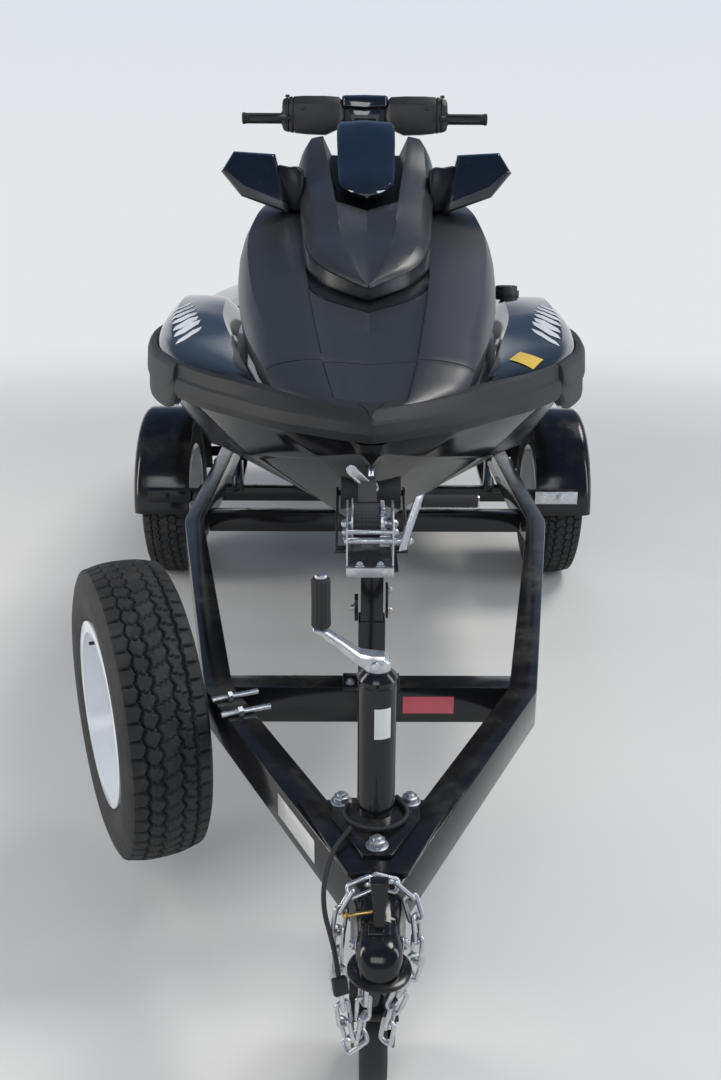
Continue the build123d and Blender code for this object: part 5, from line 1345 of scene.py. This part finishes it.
# %% [markdown]
# The trailer is welded from steel tube and folded plate, which the CAD already has at its real size. Enamel
# rounds every edge a little, so each member is a merged copy with its own radius: large on rolled tube, small
# on flame-cut plate. The craft's last metal fittings are rounded with them.

# %% Trailer members
TRAILER_EDGES = {
    "rail_left": 4.0, "rail_right": 4.0, "crossmembers": 3.0, "axle": 3.0, "leaf_springs": 1.0, "fenders": 1.0,
    "frame_brackets": 1.0, "winch_post": 2.5, "jack_tube": 1.5, "jack_leg": 1.0, "jack_caster": 1.5,
    "jack_wheel": 3.0, "spare_bracket": 1.2, "bunks": 6.0, "bow_roller": 2.0, "tail_lights": 4.0,
    "winch_frame": 0.7,
}
CRAFT_EDGES = {"jet_pump": 1.0, "boarding_step": 2.0, "hull_fittings": 1.0, "deck_mats": 1.2, "handlebar": 1.5}
ENAMELLED = ("jack_leg", "jack_caster")
for node, width in (TRAILER_EDGES | CRAFT_EDGES).items():
    softened(node, width, finish=FINISHES["trailer_paint"] if node in ENAMELLED else None)
print("members:", len(TRAILER_EDGES), "and", len(CRAFT_EDGES), "of the craft")

# %% [markdown]
# The winch: two zinc cheeks with a black strap wound between a side disc and the big gear. The gear starts as
# a cylinder of 120 sides, and every other pair of faces is pushed out as a tooth.

# %% Winch gear and side disc
WINCH = Vector((0, -1448, 788))
GEAR_TEETH, TOOTH_MM = 30, 4.0


def pick_faces(piece, test):
    """Selects the faces that pass a test, and nothing else."""
    for part in (piece.data.vertices, piece.data.edges, piece.data.polygons):
        part.foreach_set("select", [False] * len(part))
    for face in piece.data.polygons:
        face.select = test(face)
    bpy.context.tool_settings.mesh_select_mode = (False, False, True)


def push_faces(piece, test, distance):
    """Extrudes the faces that pass a test along their normals."""
    pick_faces(piece, test)
    pick(piece)
    bpy.ops.object.mode_set(mode="EDIT")
    bpy.ops.mesh.extrude_region_shrink_fatten(TRANSFORM_OT_shrink_fatten={"value": distance * MM})
    bpy.ops.object.mode_set(mode="OBJECT")


def is_tooth(face):
    angle = math.atan2(face.center.y * 1000 - WINCH.y, face.center.z * 1000 - WINCH.z)
    place = (angle / (2 * math.pi) * GEAR_TEETH) % 1.0
    return abs(face.normal.x) < 0.5 and place < 0.5


gear = drum("gear", WINCH + Vector((18.5, 0, 0)), (1, 0, 0), 38, 7, 4 * GEAR_TEETH)
push_faces(gear, is_tooth, TOOTH_MM)
web = drum("gear_web", WINCH + Vector((24, 0, 0)), (1, 0, 0), 17, 5, 32)
disc = drum("side_disc", WINCH + Vector((-35.5, 0, 0)), (1, 0, 0), 46, 3, 64)
boss = drum("disc_boss", WINCH + Vector((-38.5, 0, 0)), (1, 0, 0), 14, 4, 32)
wheels = round_edges(joined([gear, web, disc, boss]), 0.5, 2, 40)
adopt(wheels, "winch_gear", "zinc_plate", "trailer_and_hull", ("winch_drum",))
print("winch gear", len(wheels.data.polygons))

# %% [markdown]
# The wound strap is one roll whose radius grows by a layer's thickness in a turn, which leaves the step where the
# strap comes off. The crank is a flat zinc arm with a ribbed rubber grip.

# %% Strap roll, bolts and crank of the winch
ROLL_R, LAYER, ROLL_STEPS = 37.2, 0.9, 96
roll_rows = []
for turn in range(ROLL_STEPS + 1):
    angle = 2 * math.pi * turn / ROLL_STEPS
    wrap = ROLL_R - LAYER * (turn % ROLL_STEPS) / ROLL_STEPS
    ring = [(-33.8, 8.0), (-33.8, wrap - 1.2), (-31, wrap), (-10, wrap + 0.3), (12, wrap), (14.8, wrap - 1.2),
            (14.8, 8.0), (-33.8, 8.0)]
    roll_rows.append([(x, WINCH.y + r * math.sin(angle), WINCH.z + r * math.cos(angle)) for x, r in ring])
roll = grid_skin("roll", roll_rows)
close_up(roll)
adopt(smooth(roll, 40), "strap_roll", "winch_webbing", "trailer_and_hull")
softened("winch_strap", 0.6)
bolts = [bolt((x, y, z), (math.copysign(1, x), 0, 0), size) for x, y, z, size in (
    (-46, -1448, 788, 8), (38, -1448, 788, 8), (38, -1503, 790, 6.5), (-46, -1503, 790, 6.5), (-46, -1424, 752, 5))]
bolts += [bolt((x, -1512, 731), UP, 7) for x in (-22, 14)]
bolts.append(bolt((63, -1498, 772), (1, 0, 0), 7.5))
adopt(joined(bolts), "winch_bolts", "zinc_plate", "trailer_and_hull")
arm = ring_solid("winch_arm", [
    [(x - 7, y - 3, z), (x + 7, y - 3, z + 4), (x + 7, y + 3, z + 4), (x - 7, y + 3, z)]
    for x, y, z in ((53, -1513, 758), (56, -1510, 774), (80, -1487, 840), (84, -1484, 852))])
adopt(round_edges(arm, 1.5, 2), "winch_crank_arm", "zinc_plate", "trailer_and_hull")
sleeve = ribbed("crank_grip", straight((86, -1472, 838), (186, -1472, 838)), (11.8, 11.8, 11.4), 3.0, 24)
adopt(sleeve, "winch_crank_grip", "grip_rubber", "trailer_and_hull")
print("strap roll", len(roll.data.polygons), "bolts", len(bolts))

# %% [markdown]
# The strap ends in a zinc snap hook at the bow eye. The hook is a flat shank with a keeper along it; its
# curve is a short rod on four control points. Two bolted plates clamp the winch's post.

# %% Snap hook and post clamp
shank = ring_solid("shank", [
    [(x - w, y, z - w), (x + w, y, z + w), (x + w, y + 5, z + w), (x - w, y + 5, z - w)]
    for x, y, z, w in ((4, -1346, 822, 2.5), (-6, -1349, 832, 5), (-22, -1352, 846, 6.5), (-38, -1352, 862, 7),
                       (-44, -1350, 868, 4))])
shank = round_edges(shank, 1.5, 3)
keeper = tube("keeper", [(0, -1350, 818), (-14, -1356, 829), (-34, -1357, 849)], 2.6, sides=12)
hook = tube("hook", [(4, -1344, 824), (10, -1338, 818), (12, -1330, 822), (8, -1326, 830)], 3.4)
adopt(joined([shank, keeper, hook]), "snap_hook", "zinc_plate", "trailer_and_hull")
clamp = round_edges(joined([block("port_plate", (24.5, 29), (-1516, -1484), (632, 690)),
                            block("starboard_plate", (-31, -24.5), (-1514, -1486), (626, 668))]), 1.2)
adopt(clamp, "post_clamp", "trailer_paint", "trailer_and_hull")
fixings = [bolt((29, -1500, z), (1, 0, 0), 7) for z in (640, 680)]
fixings.append(bolt((-31, -1500, 646), (-1, 0, 0), 7))
fixings += [bolt((x, -1518, 506), UP, 7) for x in (-38, 38)]
adopt(joined(fixings), "post_bolts", "zinc_plate", "trailer_and_hull")
print("hook and clamp ready")

# %% [markdown]
# The jack's crank is a zinc casting with an upright grip. The grip is a ribbed black sleeve, its ribs running
# along it, with the rod's zinc end showing on top. A turned cover closes the gears at the top of the tube.

# %% Jack
JACK = Vector((0, -1940, 0))
GRIP_X, GRIP_R, FLUTES, FLUTE_DEEP = -77.0, 13.4, 16, 0.9
COVER_Z = 719
UPRIGHT = Matrix.Rotation(-math.pi / 2, 4, "Y")


def fluted(name, low, high):
    """The upright grip, with ribs along it and rounded ends."""
    rings = []
    for z, scale in ((low, 0.86), (low + 3, 1.0), ((low + high) / 2, 0.97), (high - 3, 1.0), (high, 0.86)):
        ring = []
        for k in range(FLUTES * 4):
            angle = 2 * math.pi * k / (FLUTES * 4)
            r = GRIP_R * scale - (FLUTE_DEEP if k % 4 < 2 else 0.0)
            ring.append((GRIP_X + r * math.cos(angle), JACK.y + r * math.sin(angle), z))
        rings.append(ring)
    return smooth(ring_solid(name, rings), 30)


crank_rows = []
for x, half, low, high in ((16, 9, 738, 753), (9, 17, 736, 758), (-8, 19, 737, 759), (-24, 17, 746, 762),
                           (-50, 14, 767, 781), (-76, 12, 788, 798), (-88, 8, 793, 799)):
    crank_rows.append([(x, JACK.y - half, low), (x, JACK.y - half, high - 4), (x, JACK.y - half * 0.6, high),
                       (x, JACK.y + half * 0.6, high), (x, JACK.y + half, high - 4), (x, JACK.y + half, low)])
crank = ring_solid("crank", crank_rows)
modify(crank, "BEVEL", width=2.5 * MM, segments=3, limit_method="ANGLE", angle_limit=math.radians(25))
hub = drum("hub", (0, JACK.y, 743), UP, 19, 17, 40)
hub = round_edges(joined([smooth(crank, 40), round_edges(hub, 3.0, 3)]), 0.4)
adopt(hub, "jack_crank_casting", "zinc_plate", "trailer_and_hull", ("jack_crank",))
cover = revolved("cover", [(-4, 0), (-4, 22), (0, 27.5), (5, 28.5), (9, 26.5), (16, 19), (18, 0)], 48)
cover.data.transform(Matrix.Translation((0, JACK.y * MM, COVER_Z * MM)) @ UPRIGHT)
adopt(smooth(cover, 28), "jack_gear_cover", "trailer_paint", "trailer_and_hull")
adopt(fluted("jack_grip", 798, 868), "jack_crank_grip", "grip_rubber", "trailer_and_hull")
cap = drum("cap", (GRIP_X, JACK.y, 870), UP, 8.5, 7, 24)
pin = drum("pin", (-3, JACK.y - 2, 748), (0, 1, 0), 6.5, 44, 20)
adopt(round_edges(joined([cap, pin]), 2.0), "jack_fixings", "zinc_plate", "trailer_and_hull")
flange = [bolt((x, y, 513.5), UP, 12.2) for x, y in ((0, -2029), (-50, -1921), (50, -1921))]
adopt(joined(flange), "flange_bolts", "zinc_plate", "trailer_and_hull")
print("jack dressed")

# %% [markdown]
# A plain white label wraps part of the way round the jack's tube. It is a sheet bent to the tube's radius.

# %% Label on the jack's tube
TUBE_R = 27.3


def label_finish(name, colour, metallic=0.0):
    """A plain film: one colour with a little dirt and fading."""
    finish = Finish(name)
    dirt = finish.noise(70.0, 5.0, 0.6).step(0.48, 0.85)
    faded = finish.mix(dirt * 0.4, colour, tuple(0.6 * v + 0.08 for v in colour))
    return finish.surface(base_color=faded, metallic=metallic, roughness=dirt * 0.2 + 0.35)


angles = [math.radians(degrees) for degrees in (-9, 1, 12, 22, 32, 42)]
label = grid_skin("label", [[(TUBE_R * math.sin(a), JACK.y - TUBE_R * math.cos(a), z) for a in angles]
                            for z in (641, 649, 664, 679, 687)])
modify(label, "SOLIDIFY", thickness=0.3 * MM, offset=0.0)
adopt(smooth(label), "tube_label", "white_rim", "trailer_and_hull",
      finish=label_finish("white_label", (0.72, 0.72, 0.70)))
print("label", len(label.data.polygons))

# %% [markdown]
# The coupler is one gloss pressing over the ball, open below: a channel and the ball's own hollow are cut out of
# a solid by a Boolean modifier. A lever stands on it, and a brass pin and two zinc bolts hold its latch.

# %% Coupler
BALL_Y, BALL_R = -2193, 25.4


def brass():
    """The latch pin's finish, darker where it is worn."""
    finish = Finish("brass_pin")
    worn = finish.noise(90.0, 4.0).step(0.45, 0.8)
    tint = finish.mix(worn * 0.5, (0.62, 0.42, 0.14), (0.32, 0.22, 0.10))
    return finish.surface(base_color=tint, metallic=1.0, roughness=worn * 0.2 + 0.24)


COUPLER_ROWS = (
    (-2224, 3, 446, 452), (-2221.5, 12, 446, 464), (-2216, 20, 446, 476), (-2206, 26, 446, 486),
    (-2192, 29, 446, 491), (-2178, 29, 446, 492), (-2164, 28, 443, 493), (-2148, 28, 440, 499),
    (-2130, 31, 435, 503), (-2116, 36, 430, 505),
)
rows = []
for y, half, low, high in smooth_rows(COUPLER_ROWS, 2):
    side = [(half, low), (half, low + (high - low) * 0.5), (half * 0.96, low + (high - low) * 0.74),
            (half * 0.76, low + (high - low) * 0.92), (half * 0.4, high)]
    rows.append([(x, y, z) for x, z in both_sides(side + [(0, high)])])
neck = ring_solid("neck", rows)
rim = revolved("rim", [(446, 27), (446, 37), (448, 40), (451, 40), (453, 37), (454, 30), (454, 27)], 64)
rim.data.transform(Matrix.Translation((0, BALL_Y * MM, 0)) @ UPRIGHT)
channel = block("channel", (-23, 23), (-2160, -2100), (400, 492))
mouth = drum("mouth", (0, BALL_Y, 444), UP, BALL_R, 36, 64)
bpy.ops.object.select_all(action="DESELECT")
bpy.ops.mesh.primitive_uv_sphere_add(segments=48, ring_count=24, radius=BALL_R * MM,
                                     location=(0, BALL_Y * MM, 462 * MM))
ball = bpy.context.object
for hollow in (channel, mouth, ball):
    modify(neck, "BOOLEAN", operation="DIFFERENCE", object=hollow, solver="EXACT")
    bpy.data.objects.remove(hollow)
lever = ring_solid("lever", [
    [(-half, y0, z0), (half, y0, z0), (half, y1, z1), (-half, y1, z1)]
    for half, y0, z0, y1, z1 in ((6, -2178, 484, -2164, 490), (7, -2171, 510, -2158, 514),
                                 (11, -2162, 544, -2149, 547), (12, -2161, 550, -2148, 552))])
rib = block("rib", (-14, 14), (-2184, -2160), (487, 495))
coupler = joined([round_edges(neck, 1.5, 2, 40), smooth(rim, 30), round_edges(lever, 1.6, 3),
                  round_edges(rib, 2.5, 3)])
adopt(coupler, "coupler_pressing", "trailer_paint", "trailer_and_hull", ("coupler",))
pin = drum("pin", (-26, -2154, 501), (1, -0.04, 0.18), 2.3, 36, 16)
head = drum("pin_head", (-43, -2153.5, 498), (1, -0.04, 0.18), 4.2, 5, 20)
adopt(round_edges(joined([pin, head]), 0.6), "latch_pin", "stainless", "trailer_and_hull", finish=brass())
side_bolts = [bolt((28.5, -2174, 472), (1, 0, 0), 7.5), bolt((-28.5, -2174, 472), (-1, 0, 0), 7.5)]
adopt(joined(side_bolts), "coupler_bolts", "zinc_plate", "trailer_and_hull")
print("coupler", len(coupler.data.polygons))

# %% [markdown]
# Two strands of safety chain lie over the coupler's neck and hang on both sides. A link is a closed rod on ten
# control points; copies of it follow a smoothed line, each turned a quarter round from the one before.

# %% Safety chains
LINK_HALF, LINK_WIDE, WIRE = 15.5, 8.6, 3.2
LINK_SHAPE = ((1, 0.55), (1, 1.0), (0, 1.12), (-1, 1.0), (-1, 0.55), (-1, -0.55), (-1, -1.0), (0, -1.12), (1, -1.0),
              (1, -0.55))
link = tube("link", [(0, LINK_WIDE * a, LINK_HALF * b) for a, b in LINK_SHAPE], WIRE, closed=True, sides=12)
CHAIN_LEFT = ((2, -2111, 514), (-22, -2113, 512), (-42, -2120, 498), (-50, -2132, 478), (-51, -2142, 455),
              (-54, -2152, 425), (-49, -2157, 395), (-46, -2160, 365), (-42, -2161, 332), (-34, -2161, 304),
              (-24, -2160, 312), (-19, -2158, 345), (-19, -2155, 385), (-17, -2152, 424))
CHAIN_RIGHT = ((8, -2111, 514), (30, -2114, 510), (43, -2124, 494), (49, -2136, 470), (50, -2148, 440),
               (42, -2155, 408), (28, -2158, 380), (17, -2160, 352), (12, -2160, 318))


def chain(name, route):
    """Copies of the link along a route, each a quarter turn on from the last."""
    links = []
    for i, (place, way) in enumerate(spaced(softened_line(route), 2 * (LINK_HALF - WIRE) + 0.8)):
        quarter = Matrix.Rotation(math.radians(40 + 90 * (i % 2)), 4, "Z")
        links.append(copied(link, Matrix.Translation(place * MM) @ turned(way, "X") @ quarter))
    return adopt(joined(links), name, "zinc_plate", "trailer_and_hull")


for name, route in (("safety_chain_left", CHAIN_LEFT), ("safety_chain_right", CHAIN_RIGHT)):
    print(name, len(chain(name, route).data.polygons))
bpy.data.objects.remove(link)

# %% [markdown]
# The lighting lead is corrugated hose. It lies in a loop round the foot of the jack, and a second length runs
# down the tongue to its plug. Both keep the CAD's line and only gain the ribs.

# %% Lighting lead
HARNESS_RUN = ((-36, -1996, 519.5), (-64, -2048, 514), (-74, -2118, 492), (-56, -2166, 458), (-50, -2180, 424))
LOOP_AT, LOOP_R = Vector((0, -1954, 518.6)), 44
loop = [LOOP_AT + Vector((math.cos(math.radians(a)), math.sin(math.radians(a)), 0)) * LOOP_R
        for a in range(32, -213, -7)]
hose = ribbed("loop", loop, (3.5, 3.5, 2.8), 1.1)
run = ribbed("run", softened_line(HARNESS_RUN), (3.5, 3.5, 2.8), 1.1)
end_sleeve = drum("end_sleeve", loop[0] + (loop[0] - loop[1]).normalized() * 7, loop[0] - loop[1], 4.6, 16, 20)
plug = round_edges(block("plug", (-9.5, 9.5), (-5, 5), (-11, 11)), 2.0, 3)
plug_line = (Vector(HARNESS_RUN[-1]) - Vector(HARNESS_RUN[-2])).normalized()
plug.data.transform(Matrix.Translation((Vector(HARNESS_RUN[-1]) + plug_line * 9) * MM) @ turned(plug_line))
adopt(joined([hose, run, end_sleeve, plug]), "lighting_lead", "grip_rubber", "trailer_and_hull", ("light_harness",))
print("lead", len(bpy.context.object.data.polygons))

# %% [markdown]
# Threaded rods hold the spare wheel's bracket on the rail. Two plain labels are thin sheets through four corners
# on the front crossmember's face.

# %% Spare wheel fixings and labels
rods = [ribbed("rod", straight(a, b), (5.0, 4.5), 1.0, 14) for a, b in (
    ((-281, -1587, 506), (-203, -1552, 506)), ((-258, -1643, 506), (-176, -1609, 506)))]
rods += [drum("rod_nut", place, (0.91, 0.41, 0), 9.5, 8, 6) for place in ((-251, -1573.5, 506), (-227, -1630, 506))]
adopt(joined(rods), "spare_rods", "zinc_plate", "trailer_and_hull")


def flat_label(name, corners, thickness, finish):
    """A thin plate through four corners, with rounded edges."""
    a, b, c, d = [Vector(corner) for corner in corners]
    rows = [[a.lerp(b, s).lerp(d.lerp(c, s), t) for s in (0, 0.25, 0.5, 0.75, 1)] for t in (0, 0.5, 1)]
    sheet = grid_skin(name, rows)
    modify(sheet, "SOLIDIFY", thickness=thickness * MM, offset=0.0)
    return adopt(round_edges(sheet, 0.3 * thickness), name, "white_rim", "trailer_and_hull", finish=finish)


LABEL_Y = -1525.4
for name, left, right, low, high, film, colour in (
        ("red_label", 58, 151, 448, 482, "red_film", (0.62, 0.10, 0.13)),
        ("yellow_label", 38, 45, 464, 483, "yellow_film", (0.80, 0.62, 0.05))):
    corners = ((left, LABEL_Y, high), (right, LABEL_Y, high), (right, LABEL_Y, low), (left, LABEL_Y, low))
    flat_label(name, corners, 0.4, label_finish(film, colour))
print("labels ready")

# %% [markdown]
# Small bright parts: a plate on each mudguard, the silver plate on the starboard rail, and the yellow sticker on
# the port deck, which takes its height from the deck under it. The mudguard plates are one zinc plate, lit to
# port and in painted shade to starboard, where it is given black paint.

# %% Small plates
zinc_tab = joined([
    round_edges(block("tab", (584, 728), (171.5, 176), (346, 389)), 1.2, 2), bolt((668, 171.5, 370), (0, -1, 0), 11)])
# The port plate in zinc is the lit one, and the starboard plate in black paint is the same plate in painted shade.
for side, piece, slot in (("starboard", twin(zinc_tab), "trailer_paint"), ("port", zinc_tab, "zinc_plate")):
    adopt(piece, "mudguard_tab_" + side, slot, "trailer_and_hull")
bpy.data.objects.remove(master_bolt)


def on_face(piece, place, way, lift):
    """The place where a line meets a piece, lifted off it towards the line's start."""
    way = way.normalized()
    _, point, _, _ = piece.ray_cast(place * MM, way)
    return point / MM - way * lift


RAIL_ALONG, RAIL_OUT = Vector((-0.434, 0.901, 0)), Vector((-0.901, -0.434, 0))
rail = bpy.data.objects["rail_right_soft"]
corners = []
for reach, z in ((0, 486), (138, 486), (138, 448), (0, 448)):
    start = Vector((-112, -1990, z)) + RAIL_ALONG * reach + RAIL_OUT * 200
    corners.append(on_face(rail, start, -RAIL_OUT, 0.7))
flat_label("silver_plate", corners, 0.8, label_finish("silver_film", (0.72, 0.72, 0.70), 0.6))
print("silver plate", [tuple(round(v) for v in corner) for corner in corners])

STICKER = [Vector(corner) for corner in ((354, -790), (396, -866), (318, -872), (360, -948))]
FIFTHS = (0.0, 0.2, 0.4, 0.6, 0.8, 1.0)
sticker_rows = []
for t in FIFTHS:
    row = []
    for s in FIFTHS:
        flat = STICKER[0].lerp(STICKER[1], s).lerp(STICKER[2].lerp(STICKER[3], s), t)
        row.append((flat.x, flat.y, top_of(deck, flat.x, flat.y) + 2.2))
    sticker_rows.append(row)
orange_film = label_finish("orange_film", (0.86, 0.55, 0.05))
overlay("deck_sticker", sticker_rows, 0.5, orange_film, "trailer_and_hull", "white_rim")

# %% [markdown]
# White stripes cross both shoulders of the deck. Each is a narrow film with pointed ends, which takes its height
# from the deck under it.

# %% Shoulder stripes
STRIPES = ((499, -160, 529, -330, 11), (484, -215, 522, -385, 13), (471, -275, 514, -435, 16),
           (460, -335, 504, -490, 19), (451, -390, 490, -560, 22), (440, -430, 477, -630, 22),
           (426, -510, 460, -712, 16))
STRIPE_STEPS = 18


def stripe(side, x0, y0, x1, y1, width):
    """One film on the deck from place 0 to place 1, width millimetres across its middle."""
    start, end = Vector((side * x0, y0)), Vector((side * x1, y1))
    across = Vector((y0 - y1, side * (x1 - x0))).normalized()
    rows = []
    for i in range(STRIPE_STEPS + 1):
        middle = start.lerp(end, i / STRIPE_STEPS)
        half = width / 2 * min(1.0, 0.12 + 4 * min(i, STRIPE_STEPS - i) / STRIPE_STEPS)
        places = [middle + across * half * share for share in (-1, -0.5, 0, 0.5, 1)]
        rows.append([(place.x, place.y, top_of(deck, place.x, place.y) + 1.2) for place in places])
    return walled(grid_skin("stripe", rows), 0.5)


white_film = label_finish("white_film", (0.80, 0.81, 0.82))
for side, sign in (("port", 1), ("starboard", -1)):
    films = joined([stripe(sign, *row) for row in STRIPES])
    adopt(films, "shoulder_stripes_" + side, "white_rim", "trailer_and_hull", finish=white_film)
    print("stripes", side, len(films.data.polygons))

# %% [markdown]
# The seats are stuffed: each starts as a slightly smaller closed form, is remeshed evenly, and a cloth simulation
# with pressure blows it up. No point moves further than the cap, and the base stays where it is. The sewn channels
# and the piping come afterwards, because the remesh would erase them.

# %% Helpers for stuffed seats
PUFF_CAP, PUFF_FRAMES, VOXEL = 11.0, 20, 6.0
HELD_BELOW, EASE_OVER = 32, 40
CHANNEL_LOW, CHANNEL_EASE, CHANNEL_BOW = 1120, 60, 0.10


def seat_form(name, base, rows, inset):
    """A closed seat form through its stations, drawn in by inset millimetres."""
    rings = []
    for low_y, high_y, low_x, high_x, crown in smooth_rows(rows, 3):
        top, low = crown - inset, base + 30
        half = [(low_x - 8 - inset, low), (low_x - inset, low + 26),
                (high_x + (low_x - high_x) * 0.5 - inset, (low + top) / 2),
                (high_x - inset * 0.6, top - 22), (high_x * 0.86 - inset * 0.4, top - 7), (high_x * 0.6, top),
                (high_x * 0.3, top + 1.5), (0, top + 2)]
        rings.append([(x, low_y + (high_y - low_y) * (z - base) / (crown - base), z) for x, z in both_sides(half)])
    first, last = rings[0], rings[-1]
    rings[0] = [(x * 0.97, y + inset, z) for x, y, z in first]
    rings[-1] = [(x * 0.97, y - inset, z) for x, y, z in last]
    return ring_solid(name, rings)


def puffed(piece, base):
    """Cloth with pressure blows a closed form up, each point's travel held to the cap."""
    modify(piece, "REMESH", mode="VOXEL", voxel_size=VOXEL * MM)
    modify(piece, "SMOOTH", factor=0.5, iterations=6)
    cloth = piece.modifiers.new("stuffing", "CLOTH")
    cloth.settings.use_pressure = True
    cloth.settings.uniform_pressure_force = 4.0
    cloth.settings.effector_weights.gravity = 0
    cloth.collision_settings.use_collision = False
    scene = bpy.context.scene
    for frame in range(1, PUFF_FRAMES + 1):
        scene.frame_set(frame)
    blown = piece.evaluated_get(bpy.context.evaluated_depsgraph_get()).data
    places = [vertex.co.copy() for vertex in blown.vertices]
    piece.modifiers.remove(cloth)
    scene.frame_set(1)
    furthest = 0.0
    for vertex, place in zip(piece.data.vertices, places):
        travel = place - vertex.co
        cap = PUFF_CAP * MM * min(1.0, max(0.0, (vertex.co.z / MM - base - HELD_BELOW) / EASE_OVER))
        if travel.length > cap:
            travel *= cap / travel.length
        furthest = max(furthest, travel.length / MM)
        vertex.co += travel
    print(piece.name, "furthest travel", round(furthest, 1), "mm")
    modify(piece, "SMOOTH", factor=0.5, iterations=3)
    return piece


def sew(piece, lines, depth, reach):
    """Sinks narrow channels across the top of a stuffed piece, at the given places along Y."""
    for vertex in piece.data.vertices:
        x, y, z = vertex.co / MM
        share = min(1.0, max(0.0, (z - CHANNEL_LOW) / CHANNEL_EASE))
        for line in lines:
            bow = line + abs(x) * CHANNEL_BOW
            vertex.co.z -= depth * MM * math.exp(-((y - bow) / reach) ** 2) * share
    return piece


print("seat helpers ready")

# %% [markdown]
# Each seat is a pad on a moulded base, with piping along both edges of its top. A station of the pad is its place
# along the craft low down and at the crown, its half width at both, and the crown's height.

# %% Seats
SEATS = {
    "driver_seat": (1012, (
        (604, 690, 176, 92, 1150), (700, 745, 184, 112, 1156), (800, 812, 190, 130, 1158),
        (900, 911, 194, 148, 1160), (1000, 1010, 196, 160, 1164), (1100, 1112, 198, 172, 1186),
        (1178, 1206, 198, 170, 1218), (1250, 1250, 196, 166, 1236)), (850, 990)),
    "passenger_seat": (1018, (
        (1190, 1270, 200, 168, 1222), (1300, 1330, 200, 172, 1224), (1400, 1410, 200, 176, 1226),
        (1500, 1510, 199, 176, 1230), (1600, 1610, 198, 172, 1232), (1700, 1692, 195, 164, 1229),
        (1788, 1758, 190, 148, 1220)), (1430, 1590)),
}
for seat, (base, rows, channels) in SEATS.items():
    pad = puffed(seat_form(seat + "_pad", base, rows, 8.0), base)
    modify(pad, "SUBSURF", levels=1, render_levels=1)
    smooth(sew(pad, channels, 5.0, 7.0), 60)
    adopt(pad, seat + "_pad", "seat_vinyl", seat, (seat,))
    (front, _, front_x, *_), (rear, _, rear_x, *_) = rows[0], rows[-1]
    tray = [[(-reach + 8, y, base), (-reach + 4, y, base + 34), (reach - 4, y, base + 34), (reach - 8, y, base)]
            for y, reach in ((front + 10, front_x), (front + 60, front_x + 4), ((front + rear) / 2, 190),
                             (rear - 40, rear_x), (rear - 6, rear_x - 6))]
    adopt(round_edges(ring_solid("tray", tray), 4.0, 3), seat + "_base", "dark_moulded", seat)
    seams = []
    for side in (-1, 1):
        line = []
        for _, high_y, _, high_x, _ in smooth_rows(rows, 3)[2:-2]:
            x = side * high_x * 0.86
            height = top_of(pad, x, high_y)
            if height:
                line.append((x, high_y, height + 0.3))
        seams.append(tube("seam", line, 1.6, sides=8))
    adopt(joined(seams), seat + "_piping", "seat_vinyl", seat)
    print(seat, len(pad.data.polygons), "faces")
